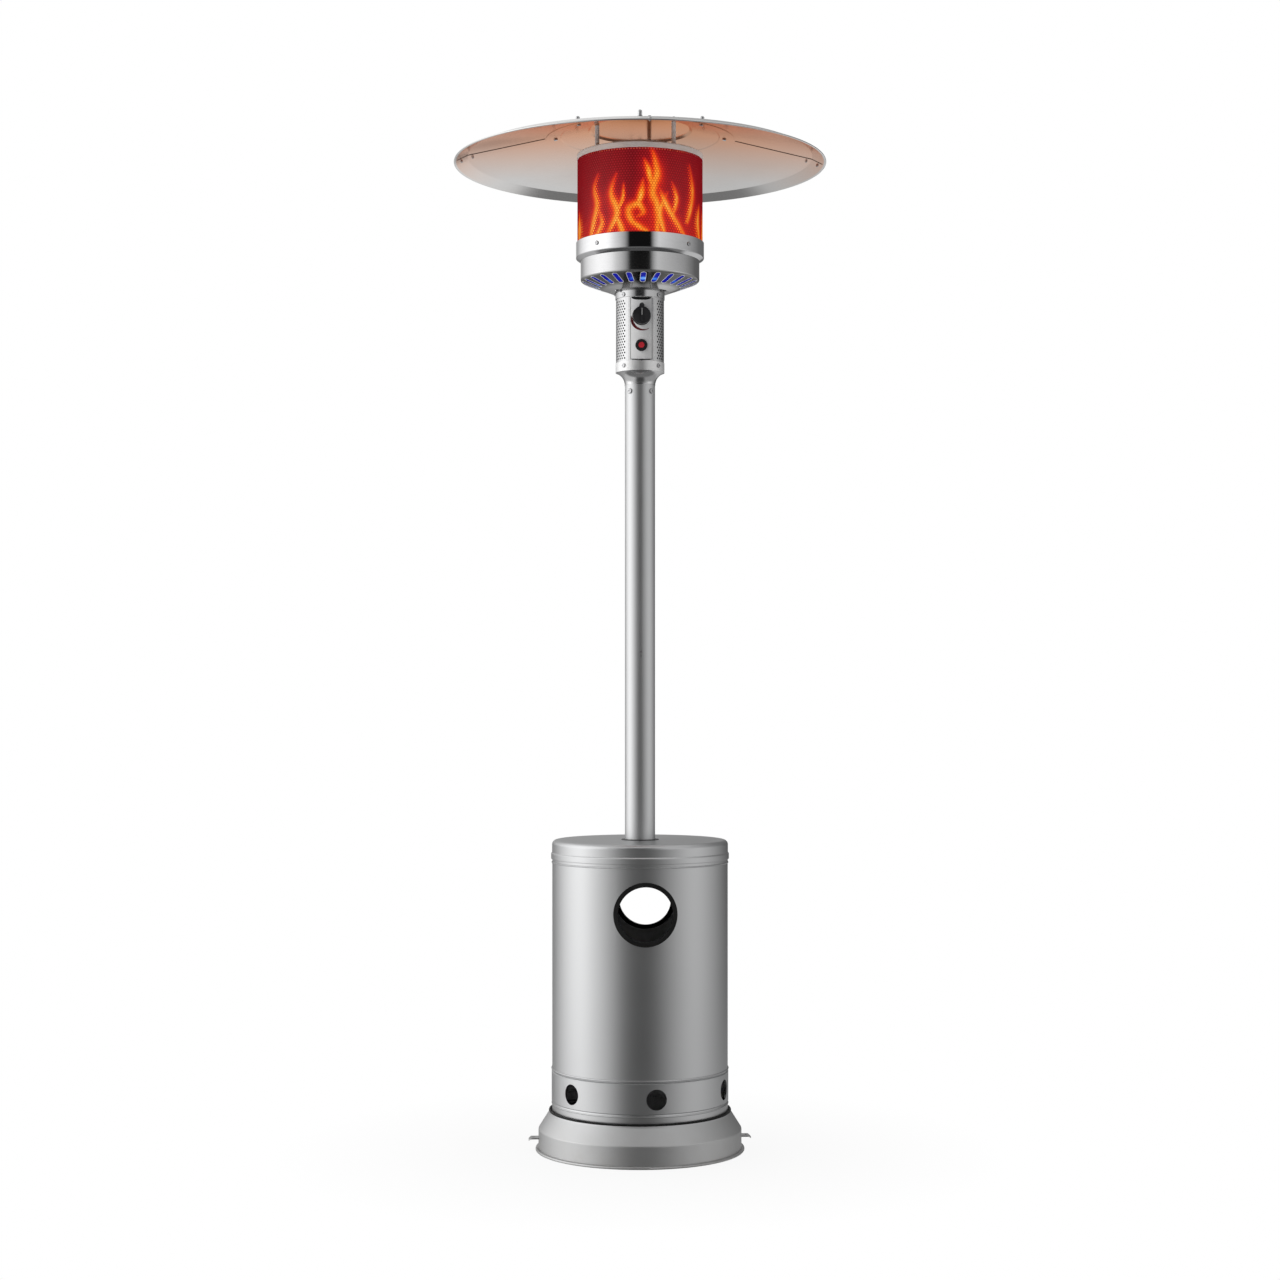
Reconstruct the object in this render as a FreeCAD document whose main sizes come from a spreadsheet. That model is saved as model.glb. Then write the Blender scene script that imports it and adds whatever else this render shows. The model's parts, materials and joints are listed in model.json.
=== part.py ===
"""Free-standing gas patio heater: base pan, lifting bottle housing, pole, head and reflector.

Millimetres, +Z up, origin on the ground at the middle of the base, front towards -Y.
Angles are counted from the front towards +X.
"""
import FreeCAD, Part
import math
import os
import Sketcher
from FreeCAD import Placement, Rotation, Vector

CELLS = (
    # base pan and what is fixed to it
    ("foot_radius", 228.5), ("foot_inner_radius", 207), ("foot_height", 6),
    ("pan_wall_radius", 222), ("pan_wall_top", 47), ("pan_sheet", 1.5),
    ("pan_neck_radius", 200), ("pan_neck_top", 82), ("pan_rim_radius", 197.5),
    ("pan_rim_top", 88), ("pan_seat_radius", 195.5), ("deck_top", 80), ("drain_radius", 15),
    ("brace_inner_radius", 138), ("brace_outer_radius", 194), ("brace_sheet", 3),
    ("lug_reach", 243.5), ("lug_level", 26), ("lug_sheet", 2.5), ("lug_width", 30),
    ("lug_droop", 4), ("lug_bolt_line", 233), ("lug_hole", 3.3),
    # legs that carry the pole above the gas bottle
    ("leg_ring", 176), ("leg_radius", 9.5), ("leg_sheet", 1.5), ("leg_bend", 45),
    ("leg_top_level", 640), ("leg_end_ring", 44), ("leg_first_angle", 86.4),
    ("leg_foot_inner", 140), ("leg_foot_outer", 186), ("leg_foot_width", 36), ("leg_foot_sheet", 3),
    ("leg_foot_bolt_ring", 153), ("leg_top_bolt_ring", 60), ("leg_bolt_radius", 4),
    # pole
    ("pole_radius", 33), ("pole_sheet", 1.5), ("pole_joint", 1086), ("pole_top", 1670),
    ("spigot_radius", 31.45), ("spigot_sheet", 1.5), ("spigot_length", 50),
    ("flange_radius", 78), ("flange_sheet", 5), ("flange_bore", 28), ("flange_spigot", 65),
    ("notch_size", 4.5), ("pole_screw_level", 1656), ("screw_angle", 45),
    # bottle housing
    ("shell_radius", 192), ("shell_sheet", 1.2), ("shell_foot", 80.4), ("shell_top", 646.5),
    ("lip_radius", 194), ("lip_height", 4), ("groove_low", 108), ("groove_high", 175),
    ("groove_depth", 1), ("groove_half", 2), ("band_radius", 193.2),
    ("vent_radius", 22), ("vent_level", 140), ("vent_first_angle", 6.9), ("vent_count", 6),
    ("access_radius", 63), ("access_level", 530), ("access_rear_angle", 172.8),
    ("trim_outer", 68), ("trim_inner", 58.5), ("trim_front_radius", 194.8), ("trim_back_radius", 189),
    ("bead_radius", 194.5), ("bead_foot", 636), ("bead_top", 648), ("lid_radius", 192.4),
    ("lid_skirt_foot", 650.5), ("lid_top", 677), ("lid_corner", 10), ("lid_hole", 38),
    ("grommet_radius", 41), ("grommet_bore", 34.2), ("grommet_lip", 1.6), ("grommet_back", 3.2),
    # neck and control housing
    ("flare_foot_radius", 33.5), ("flare_top_radius", 53.5), ("flare_top", 1698),
    ("flare_bend", 28), ("flare_sheet", 1.5),
    ("head_radius", 52.5), ("head_sheet", 1), ("head_foot", 1699.5), ("head_top", 1872),
    ("ring_low_radius", 53.5), ("ring_low_top", 1718.5), ("ring_low_screws", 1709.5),
    ("ring_high_radius", 54), ("ring_high_foot", 1858), ("ring_high_top", 1874),
    ("ring_high_screws", 1863.5), ("ring_inner", 52.55), ("ring_flange_inner", 46),
    ("flat_depth", 44.4), ("flat_foot", 1719.5), ("flat_top", 1857.8),
    ("window_width", 40), ("window_foot", 1720.8), ("window_top", 1856.5),
    ("plate_width", 46), ("plate_foot", 1723), ("plate_top", 1857), ("plate_sheet", 1.2),
    ("plate_dip", 5), ("knob_level", 1815), ("igniter_level", 1752.5),
    # knob, stem, plug, valve
    ("knob_radius", 19), ("knob_back", 50.6), ("knob_depth", 16), ("pointer_reach", 26.5),
    ("pointer_width", 11), ("pointer_depth", 19.5), ("stem_radius", 4), ("stem_hole", 5),
    ("stem_inner_end", 22), ("plug_radius", 9), ("plug_front", 34), ("plug_back", 9),
    ("running_gap", 0.05), ("valve_width", 34), ("valve_front", 36), ("valve_rear", 27),
    ("valve_foot", 1797), ("valve_top", 1835),
    # igniter
    ("bezel_radius", 13), ("bezel_lip", 3.5), ("barrel_radius", 10.5), ("barrel_back", 22),
    ("button_radius", 6.25), ("button_bore", 6.6), ("button_front", 52), ("button_length", 15),
    ("plunger_radius", 3), ("plunger_bore", 3.35), ("plunger_end", 24), ("piezo_radius", 9),
    ("piezo_end", 5),
    # gas line
    ("feed_offset", 20), ("feed_radius", 5), ("feed_foot", 622), ("inlet_foot", 596),
    ("inlet_spigot_radius", 8), ("inlet_spigot_length", 14), ("inlet_hex", 22),
    # burner
    ("injector_top", 1850), ("mixer_radius", 14), ("burner_radius", 62), ("burner_foot", 1962),
    ("burner_top", 1988), ("burner_sheet", 1.5), ("port_radius", 2.2), ("port_ring", 52),
    ("port_count", 32), ("pilot_ring", 80), ("pilot_plate", 2),
    ("bowl_hole", 50), ("bowl_flat", 65), ("bowl_foot", 1874), ("bowl_radius", 130),
    ("bowl_edge", 1898.5), ("bowl_top", 1972), ("bowl_sheet", 1), ("bowl_corner", 5),
    ("slot_inner", 88), ("slot_outer", 126), ("slot_width", 12), ("slot_count", 24),
    ("bowl_bolt_ring", 60.5), ("bowl_bolt_angle", 60),
    ("collar_radius", 140), ("collar_foot", 1941.2), ("collar_step", 1947.5), ("collar_top", 1981),
    ("collar_screws", 1963), ("collar_seat", 130.3),
    ("tray_hole", 100), ("tray_radius", 138.9), ("tray_foot", 1955), ("tray_top", 1974),
    # emitter and studs
    ("screen_radius", 137), ("screen_sheet", 1), ("screen_top", 2170),
    ("cap_radius", 138.2), ("cap_foot", 2161), ("cap_top", 2174), ("cap_sheet", 1),
    ("dome_foot_radius", 90), ("dome_top_radius", 84), ("dome_top", 2190),
    ("stud_ring", 98), ("stud_first_angle", -75.6), ("stud_radius", 4.75),
    ("stud_thread_radius", 3), ("stud_foot", 2164), ("stud_end", 2240), ("cap_nut_top", 2243.5),
    # reflector
    ("dish_apex", 2254.6), ("dish_slope", 0.2356), ("dish_sheet", 1), ("dish_flat", 2232),
    ("dish_flat_radius", 108), ("dish_step_radius", 114), ("joggle_radius", 172),
    ("joggle_end_radius", 175), ("joggle_drop", 1.1), ("centre_radius", 206),
    ("panel_inner_radius", 176), ("panel_bend_radius", 376), ("rim_radius", 406.4),
    ("rim_bottom", 2152), ("rim_bead", 1.7), ("lap_inner_radius", 208), ("lap_outer_radius", 399),
    ("lap_angle", 6), ("reflector_angle", -3.6), ("dish_bolt_ring", 185), ("rim_screw_inner", 366),
    ("rim_screw_outer", 391), ("dish_bolt_end", 16),
)

doc = FreeCAD.newDocument("PatioHeater")
sheet = doc.addObject("Spreadsheet::Sheet", "Sizes")
for row, (alias, number) in enumerate(CELLS, start=1):
    sheet.set("A%d" % row, alias)
    sheet.set("B%d" % row, str(number))
    sheet.setAlias("B%d" % row, alias)
doc.recompute()

NODES = []


# ---- sizes, expressions and places -------------------------------------------------------

def size(formula):
    """The number that a sum of cells stands for, such as 'pole_radius - 2*pole_sheet'."""
    total = 0.0
    sign = 1.0
    for word in formula.split():
        if word == "-":
            sign = -1.0
        elif word != "+":
            product = sign
            for factor in word.split("*"):
                product *= float(sheet.get(factor)) if factor[0].isalpha() else float(factor)
            total += product
            sign = 1.0
    return total


def bound(formula):
    """The same sum as an expression of the document."""
    words = []
    for word in formula.split():
        factors = ["Sizes." + part if part[0].isalpha() else part for part in word.split("*")]
        words.append(" * ".join(factors))
    return " ".join(words)


def minus(formula):
    """The negative of a sum of cells that starts with a plain term."""
    opposite = {"+": "-", "-": "+"}
    return "0 - " + " ".join(opposite.get(word, word) for word in formula.split())


def bind(item, **formulas):
    """Bind properties of an object to the sheet. Two underscores stand for a dot."""
    for name, formula in formulas.items():
        item.setExpression(name.replace("__", "."), bound(formula))


def node(item, name):
    """Register a finished sub-part under the name of its file."""
    item.Label = name
    NODES.append(item)
    return item


def around(shape, angle):
    """A copy of a shape, turned about the heater's axis."""
    turned_copy = shape.copy()
    turned_copy.rotate(Vector(0, 0, 0), Vector(0, 0, 1), angle)
    return turned_copy


def facing_out(shape, radius, level):
    """Lay a shape made along +Z so that it points out to the front at a radius and level."""
    laid = shape.copy()
    laid.rotate(Vector(0, 0, 0), Vector(1, 0, 0), 90)
    laid.translate(Vector(0, -radius, level))
    return laid


def feature(name, shape):
    """A plain feature that holds a computed shape."""
    item = doc.addObject("Part::Feature", name)
    item.Shape = shape
    return item


# ---- outlines -----------------------------------------------------------------------------

def corners_of(outline):
    """Numbers for an outline of (across, up) or (across, up, bend) formulas."""
    corners = []
    for corner in outline:
        bend = size(corner[2]) if len(corner) > 2 else 0.0
        corners.append((size(corner[0]), size(corner[1]), bend))
    return corners


def arc_centre(start, end, bend):
    """Centre of the arc that turns left for a positive bend radius, right for a negative one."""
    chord_x = end[0] - start[0]
    chord_y = end[1] - start[1]
    chord = math.hypot(chord_x, chord_y)
    rise = math.sqrt(max(bend * bend - chord * chord / 4, 0.0))
    side = math.copysign(rise / chord, bend)
    return ((start[0] + end[0]) / 2 - chord_y * side, (start[1] + end[1]) / 2 + chord_x * side)


def sketch_outline(sketch, outline):
    """Draw a closed outline with every corner and radius tied to the sheet.

    A half circle between two level corners has its centre tied instead of its radius.
    """
    corners = corners_of(outline)
    ends = []
    for index, start in enumerate(corners):
        end = corners[(index + 1) % len(corners)]
        if start[2]:
            centre = arc_centre(start, end, start[2])
            circle = Part.Circle(Vector(centre[0], centre[1], 0), Vector(0, 0, 1), abs(start[2]))
            first, last = (start, end) if start[2] > 0 else (end, start)
            angles = [math.atan2(point[1] - centre[1], point[0] - centre[0]) for point in (first, last)]
            sketch.addGeometry(Part.ArcOfCircle(circle, angles[0], angles[1]), False)
            ends.append((1, 2) if start[2] > 0 else (2, 1))
        else:
            line = Part.LineSegment(Vector(start[0], start[1], 0), Vector(end[0], end[1], 0))
            sketch.addGeometry(line, False)
            ends.append((1, 2))
    for index in range(len(corners)):
        following = (index + 1) % len(corners)
        joint = Sketcher.Constraint("Coincident", index, ends[index][1], following, ends[following][0])
        sketch.addConstraint(joint)
    for index, corner in enumerate(outline):
        for kind, place, formula in (("DistanceX", 0, corner[0]), ("DistanceY", 1, corner[1])):
            rule = Sketcher.Constraint(kind, -1, 1, index, ends[index][0], corners[index][place])
            number = sketch.addConstraint(rule)
            sketch.setExpression("Constraints[%d]" % number, bound(formula))
        bend = abs(corners[index][2])
        following = corners[(index + 1) % len(corners)]
        chord = math.hypot(following[0] - corners[index][0], following[1] - corners[index][1])
        if bend and abs(chord - 2 * bend) < 1e-6:
            rule = Sketcher.Constraint("DistanceY", -1, 1, index, 3, corners[index][1])
            sketch.setExpression("Constraints[%d]" % sketch.addConstraint(rule), bound(corner[1]))
        elif bend:
            rule = Sketcher.Constraint("Radius", index, bend)
            sketch.setExpression("Constraints[%d]" % sketch.addConstraint(rule),
                                 "abs(%s)" % bound(corner[2]))


def outline_face(outline):
    """A face in the XZ plane from the same kind of outline."""
    corners = corners_of(outline)
    edges = []
    for index, start in enumerate(corners):
        end = corners[(index + 1) % len(corners)]
        first = Vector(start[0], 0, start[1])
        last = Vector(end[0], 0, end[1])
        if start[2]:
            centre = arc_centre(start, end, start[2])
            middle = Vector((start[0] + end[0]) / 2 - centre[0], 0, (start[1] + end[1]) / 2 - centre[1])
            if middle.Length < 1e-6:
                middle = Vector(end[1] - start[1], 0, start[0] - end[0]) * math.copysign(1, start[2])
            middle.normalize()
            through = Vector(centre[0], 0, centre[1]) + middle * abs(start[2])
            edges.append(Part.Arc(first, through, last).toShape())
        else:
            edges.append(Part.LineSegment(first, last).toShape())
    return Part.Face(Part.Wire(edges))


def wall(outer, sheet_name):
    """Close an outer line of corners into a thin wall, offset towards the axis."""
    inner = [(across + " - " + sheet_name, up) for across, up in reversed(outer)]
    return list(outer) + inner


# ---- ways of making a piece ---------------------------------------------------------------

def attached_sketch(body, name, role):
    """A sketch on one of a body's own origin planes."""
    sketch = body.newObject("Sketcher::SketchObject", name)
    plane = [item for item in body.Origin.OriginFeatures if item.Role == role][0]
    sketch.AttachmentSupport = [(plane, "")]
    sketch.MapMode = "FlatFace"
    return sketch


def turned(name, outline, rounds=()):
    """A body turned about the heater's axis; rounds are (across, up, fillet) corners."""
    body = doc.addObject("PartDesign::Body", name)
    sketch = attached_sketch(body, name + "_outline", "XZ_Plane")
    sketch_outline(sketch, outline)
    turn = body.newObject("PartDesign::Revolution", name + "_turn")
    turn.Profile = sketch
    turn.ReferenceAxis = (sketch, ["V_Axis"])
    turn.Angle = 360
    doc.recompute()
    for number, (across, up, fillet) in enumerate(rounds):
        tip = body.Tip
        edges = ring_edges(tip.Shape, size(across), size(up))
        rounding = body.newObject("PartDesign::Fillet", "%s_round_%d" % (name, number))
        rounding.Base = (tip, edges)
        rounding.Radius = size(fillet)
        rounding.setExpression("Radius", bound(fillet))
        doc.recompute()
    return body


def ring_edges(shape, radius, level):
    """Names of the circular edges about the axis at one radius and level."""
    names = []
    for number, edge in enumerate(shape.Edges, start=1):
        curve = edge.Curve
        if isinstance(curve, Part.Circle):
            centre = curve.Center
            if (abs(curve.Radius - radius) < 0.01 and abs(centre.z - level) < 0.01
                    and math.hypot(centre.x, centre.y) < 0.01):
                names.append("Edge%d" % number)
    if not names:
        raise RuntimeError("no ring edge at radius %g, level %g" % (radius, level))
    return names


def cylinder(name, radius, foot, height):
    """A parametric cylinder on the heater's axis."""
    item = doc.addObject("Part::Cylinder", name)
    bind(item, Radius=radius, Height=height, Placement__Base__z=foot)
    return item


def lying_cylinder(name, radius, front, length, level):
    """A parametric cylinder that points to the front, from y = -front inwards."""
    item = doc.addObject("Part::Cylinder", name)
    item.Placement = Placement(Vector(0, 0, 0), Rotation(Vector(1, 0, 0), -90))
    bind(item, Radius=radius, Height=length, Placement__Base__z=level, Placement__Base__y=minus(front))
    return item


def box(name, corner, extent):
    """A parametric box from a corner and an extent, each three formulas."""
    item = doc.addObject("Part::Box", name)
    bind(item, Length=extent[0], Width=extent[1], Height=extent[2])
    bind(item, Placement__Base__x=corner[0], Placement__Base__y=corner[1], Placement__Base__z=corner[2])
    return item


def cut(name, base, tool):
    """Base minus tool."""
    item = doc.addObject("Part::Cut", name)
    item.Base = base
    item.Tool = tool
    return item


def fuse(name, pieces):
    """Several pieces joined into one."""
    item = doc.addObject("Part::MultiFuse", name)
    item.Shapes = pieces
    item.Refine = True
    return item


def tube(name, radius, inner, foot, height):
    """A parametric tube on the heater's axis."""
    outside = cylinder(name + "_outside", radius, foot, height)
    inside = cylinder(name + "_inside", inner, foot, height)
    return cut(name, outside, inside)


def bent_path(points, bend):
    """A wire of straight runs joined by tangent arcs of one radius."""
    edges = []
    start = points[0]
    for before, corner, after in zip(points, points[1:], points[2:]):
        inward = (before - corner).normalize()
        outward = (after - corner).normalize()
        half = inward.getAngle(outward) / 2
        reach = bend / math.tan(half)
        first = corner + inward * reach
        last = corner + outward * reach
        to_centre = (inward + outward).normalize()
        middle = corner + to_centre * (bend / math.sin(half) - bend)
        edges.append(Part.LineSegment(start, first).toShape())
        edges.append(Part.Arc(first, middle, last).toShape())
        start = last
    edges.append(Part.LineSegment(start, points[-1]).toShape())
    return Part.Wire(edges)


def swept_rod(points, bend, radius):
    """A round rod along a bent path."""
    path = bent_path(points, bend)
    circle = Part.Circle(points[0], points[1] - points[0], radius)
    return path.makePipeShell([Part.Wire(circle.toShape())], True, True)


# ---- fasteners, each made along +Z with its seat at the origin ---------------------------

def pan_screw(head_radius, head_height, shank_radius, shank_length):
    """A screw with a low rounded head above its seat and a cross recess."""
    head = Part.makeCylinder(head_radius, head_height)
    head = head.makeFillet(head_height * 0.6, [head.Edges[0]])
    recess = Part.makeBox(head_radius * 1.1, head_radius * 0.25, head_height)
    recess.translate(Vector(-head_radius * 0.55, -head_radius * 0.125, head_height * 0.5))
    crossing = around(recess, 90)
    shank = Part.makeCylinder(shank_radius, shank_length, Vector(0, 0, -shank_length))
    return head.cut(recess).cut(crossing).fuse(shank).removeSplitter()


def hex_prism(across_flats, height, foot=0.0):
    """A hexagonal prism."""
    reach = across_flats / math.sqrt(3)
    points = []
    for number in range(7):
        angle = math.radians(60 * number)
        points.append(Vector(reach * math.cos(angle), reach * math.sin(angle), foot))
    return Part.Face(Part.makePolygon(points)).extrude(Vector(0, 0, height))


def bolt_and_nut(shank_radius, grip, tail):
    """A bolt with its head above the seat and a nut under a grip, as one fastened piece."""
    head = hex_prism(shank_radius * 3.2, shank_radius * 1.3)
    nut = hex_prism(shank_radius * 3.2, shank_radius * 1.5, -grip - shank_radius * 1.5)
    shank = Part.makeCylinder(shank_radius, grip + tail, Vector(0, 0, -grip - tail))
    return head.fuse([nut, shank]).removeSplitter()


def ring_of(shape, count, first_angle):
    """Copies of a shape, evenly spaced round the axis."""
    return [around(shape, first_angle + 360.0 * number / count) for number in range(count)]


def corner_screws(head_radius, shank_radius, radius, level, grip):
    """Four pan screws at 45 degrees to the front, with their seats on a round wall."""
    screw = pan_screw(head_radius, head_radius * 0.45, shank_radius, grip)
    return ring_of(facing_out(screw, radius, level), 4, size("screw_angle"))


def corner_holes(hole_radius, radius, level):
    """Cutters for the same four screws, from 12 mm inside the wall to 4 mm outside it."""
    hole = Part.makeCylinder(hole_radius, 16, Vector(0, 0, -12))
    return ring_of(facing_out(hole, radius, level), 4, size("screw_angle"))


def pierced(name, base, cutters):
    """A piece with a group of holes cut from it."""
    holes = feature(name + "_holes", Part.makeCompound(cutters))
    return cut(name, base, holes)


# ---- base ---------------------------------------------------------------------------------

def make_base_pan():
    outline = [
        ("foot_inner_radius", "0"), ("foot_radius", "0"), ("foot_radius", "foot_height"),
        ("pan_wall_radius", "foot_height"), ("pan_wall_radius", "pan_wall_top"),
        ("pan_neck_radius", "pan_neck_top"), ("pan_rim_radius", "pan_rim_top"),
        ("pan_seat_radius", "pan_rim_top"), ("pan_seat_radius", "deck_top"),
        ("drain_radius", "deck_top"), ("drain_radius", "deck_top - pan_sheet"),
        ("pan_neck_radius", "deck_top - pan_sheet"),
        ("pan_wall_radius - pan_sheet", "pan_wall_top - pan_sheet"),
        ("pan_wall_radius - pan_sheet", "pan_sheet"), ("foot_inner_radius", "pan_sheet")]
    rounds = [
        ("foot_radius", "0", "0.48*foot_height"), ("foot_radius", "foot_height", "0.48*foot_height"),
        ("pan_wall_radius", "pan_wall_top", "5"), ("pan_neck_radius", "pan_neck_top", "3")]
    pan = turned("pan", outline, rounds)
    hole = Part.makeCylinder(size("leg_bolt_radius + 0.3"), 20)
    hole.translate(Vector(0, -size("leg_foot_bolt_ring"), size("deck_top") - 10))
    node(pierced("base_pan_cut", pan, ring_of(hole, 3, size("leg_first_angle"))), "base_pan")


def make_base_brace():
    ring = tube("brace", "brace_outer_radius", "brace_inner_radius",
                "deck_top - pan_sheet - brace_sheet", "brace_sheet")
    hole = Part.makeCylinder(size("leg_bolt_radius + 0.3"), 20)
    hole.translate(Vector(0, -size("leg_foot_bolt_ring"), size("deck_top") - 15))
    node(pierced("base_brace_cut", ring, ring_of(hole, 3, size("leg_first_angle"))), "base_brace")


def make_anchor_lugs():
    """Two tabs on the pan's wall, each with a hole for a ground fixing."""
    outline = [
        ("pan_wall_radius - 4", "lug_level"), ("lug_reach - 6", "lug_level"),
        ("lug_reach", "lug_level - lug_droop"), ("lug_reach", "lug_level + lug_sheet - lug_droop"),
        ("lug_reach - 5", "lug_level + lug_sheet"), ("pan_wall_radius - 4", "lug_level + lug_sheet")]
    width = size("lug_width")
    tab = outline_face(outline).extrude(Vector(0, width, 0))
    tab.translate(Vector(0, -width / 2, 0))
    plan = Part.makeBox(size("lug_reach"), width, 100, Vector(0, -width / 2, 0))
    plan = plan.makeFillet(8, upright_edges(plan))
    tab = tab.common(plan)
    tab = tab.cut(Part.makeCylinder(size("pan_wall_radius"), 100))
    hole = Part.makeCylinder(size("lug_hole"), 20, Vector(size("lug_bolt_line"), 0, size("lug_level") - 8))
    tab = tab.cut(hole)
    node(feature("lugs", Part.makeCompound([tab, around(tab, 180)])), "anchor_lugs")


def upright_edges(block):
    """The four vertical edges of a box."""
    return [edge for edge in block.Edges if abs(edge.Vertexes[0].Z - edge.Vertexes[-1].Z) > 1]


# ---- legs ---------------------------------------------------------------------------------

def make_support_legs():
    """Three bent tubes from the deck to the pole's flange, each on a bolted foot."""
    foot_level = size("deck_top + leg_foot_sheet")
    upright = Vector(0, -size("leg_ring"), 0)
    points = [
        upright + Vector(0, 0, foot_level),
        upright + Vector(0, 0, size("leg_top_level")),
        Vector(0, -size("leg_end_ring"), size("leg_top_level"))]
    outside = swept_rod(points, size("leg_bend"), size("leg_radius"))
    inside = swept_rod(points, size("leg_bend"), size("leg_radius - leg_sheet"))
    foot_depth = size("leg_foot_outer - leg_foot_inner")
    foot = Part.makeBox(size("leg_foot_width"), foot_depth, size("leg_foot_sheet"))
    foot.translate(Vector(-size("leg_foot_width") / 2, -size("leg_foot_outer"), size("deck_top")))
    foot = foot.makeFillet(6, upright_edges(foot))
    leg = outside.cut(inside).fuse(foot).removeSplitter()
    radius = size("leg_bolt_radius + 0.3")
    foot_hole = Part.makeCylinder(radius, 20, Vector(0, -size("leg_foot_bolt_ring"), foot_level - 10))
    hole_foot = Vector(0, -size("leg_top_bolt_ring"), size("leg_top_level") - 20)
    top_hole = Part.makeCylinder(radius, 40, hole_foot)
    leg = leg.cut(foot_hole).cut(top_hole)
    for number, shape in enumerate(ring_of(leg, 3, size("leg_first_angle")), start=1):
        node(feature("leg_%d" % number, shape), "support_leg_%d" % number)


def make_leg_bolts():
    radius = size("leg_bolt_radius")
    foot_bolt = bolt_and_nut(radius, size("leg_foot_sheet + pan_sheet + brace_sheet"), 10)
    foot_bolt.translate(Vector(0, -size("leg_foot_bolt_ring"), size("deck_top + leg_foot_sheet")))
    node(feature("foot_bolts", Part.makeCompound(ring_of(foot_bolt, 3, size("leg_first_angle")))),
         "leg_foot_bolts")
    top_bolt = bolt_and_nut(radius, size("flange_sheet + 2*leg_radius"), 10)
    top_level = size("leg_top_level + leg_radius + flange_sheet")
    top_bolt.translate(Vector(0, -size("leg_top_bolt_ring"), top_level))
    node(feature("top_bolts", Part.makeCompound(ring_of(top_bolt, 3, size("leg_first_angle")))),
         "leg_top_bolts")


# ---- pole ---------------------------------------------------------------------------------

FLANGE_FOOT = "leg_top_level + leg_radius"


def make_pole_flange():
    top = FLANGE_FOOT + " + flange_sheet"
    outline = [
        ("flange_bore", FLANGE_FOOT), ("flange_radius", FLANGE_FOOT), ("flange_radius", top),
        ("spigot_radius", top), ("spigot_radius", top + " + flange_spigot"),
        ("flange_bore", top + " + flange_spigot")]
    flange = turned("flange", outline)
    hole = Part.makeCylinder(size("leg_bolt_radius + 0.3"), 20)
    hole.translate(Vector(0, -size("leg_top_bolt_ring"), size(FLANGE_FOOT) - 5))
    node(pierced("pole_flange_cut", flange, ring_of(hole, 3, size("leg_first_angle"))), "pole_flange")


def make_pole():
    """Two tubes on an inner sleeve; the upper one has a locating notch over a rivet."""
    foot = FLANGE_FOOT + " + flange_sheet"
    inner = "pole_radius - pole_sheet"
    lower = tube("lower_tube", "pole_radius", inner, foot,
                 "pole_joint - leg_top_level - leg_radius - flange_sheet")
    upper = tube("upper_tube", "pole_radius", inner, "pole_joint", "pole_top - pole_joint")
    sleeve = tube("sleeve", "spigot_radius", "spigot_radius - spigot_sheet",
                  "pole_joint - spigot_length", "2*spigot_length")
    level = size("pole_joint")
    half = size("notch_size")
    corners = [Vector(-half, 0, level - 1), Vector(0, 0, level + half), Vector(half, 0, level - 1)]
    notch = Part.Face(Part.makePolygon(corners + corners[:1])).extrude(Vector(0, -50, 0))
    rivet_hole = facing_out(Part.makeCylinder(2.1, 10, Vector(0, 0, -5)), size("pole_radius"), level - 7)
    screws = corner_holes(2.7, size("pole_radius"), size("pole_screw_level"))
    node(pierced("lower_cut", lower, [rivet_hole]), "pole_lower")
    node(pierced("upper_cut", upper, [notch] + screws), "pole_upper")
    node(pierced("sleeve_cut", sleeve, [rivet_hole]), "pole_joint_sleeve")
    rivet = pan_screw(3, 0.6, 2, 4)
    node(feature("rivet", facing_out(rivet, size("pole_radius"), level - 7)), "pole_joint_rivet")


def make_neck_flare():
    spigot_inner = "spigot_radius - spigot_sheet"
    outline = [
        ("spigot_radius", "pole_top - spigot_length"), ("spigot_radius", "pole_top"),
        ("flare_foot_radius", "pole_top", "- flare_bend"), ("flare_top_radius", "flare_top"),
        ("flare_top_radius - 2", "flare_top", "flare_bend"),
        ("flare_foot_radius - flare_sheet", "pole_top + flare_sheet"),
        (spigot_inner, "pole_top + flare_sheet"), (spigot_inner, "pole_top - spigot_length")]
    flare = turned("flare", outline)
    holes = corner_holes(2.7, size("pole_radius"), size("pole_screw_level"))
    node(pierced("neck_flare_cut", flare, holes), "neck_flare")
    node(feature("neck_screw_group",
                 Part.makeCompound(corner_screws(6, 2.5, size("pole_radius"), size("pole_screw_level"), 6))),
         "neck_screws")


# ---- bottle housing -----------------------------------------------------------------------

def make_housing_shell():
    """A rolled sheet drum with a raised band near its foot, six vents and two access holes."""
    grooved = "shell_radius - groove_depth"
    outer = [
        ("lip_radius", "shell_foot"), ("lip_radius", "shell_foot + lip_height"),
        ("shell_radius", "shell_foot + lip_height + groove_half"),
        ("shell_radius", "groove_low - 2*groove_half"), (grooved, "groove_low"),
        ("band_radius", "groove_low + groove_half"), ("band_radius", "groove_high - groove_half"),
        (grooved, "groove_high"), ("shell_radius", "groove_high + 2*groove_half"),
        ("shell_radius", "shell_top")]
    drum = turned("drum", wall(outer, "shell_sheet"))
    vent = Part.makeCylinder(size("vent_radius"), 40)
    vent = facing_out(vent, size("shell_radius - 20"), size("vent_level"))
    access = facing_out(Part.makeCylinder(size("access_radius"), 60), size("shell_radius - 40"),
                        size("access_level"))
    cutters = ring_of(vent, int(size("vent_count")), size("vent_first_angle"))
    cutters += [access, around(access, size("access_rear_angle"))]
    node(pierced("housing_shell_cut", drum, cutters), "housing_shell")


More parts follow.
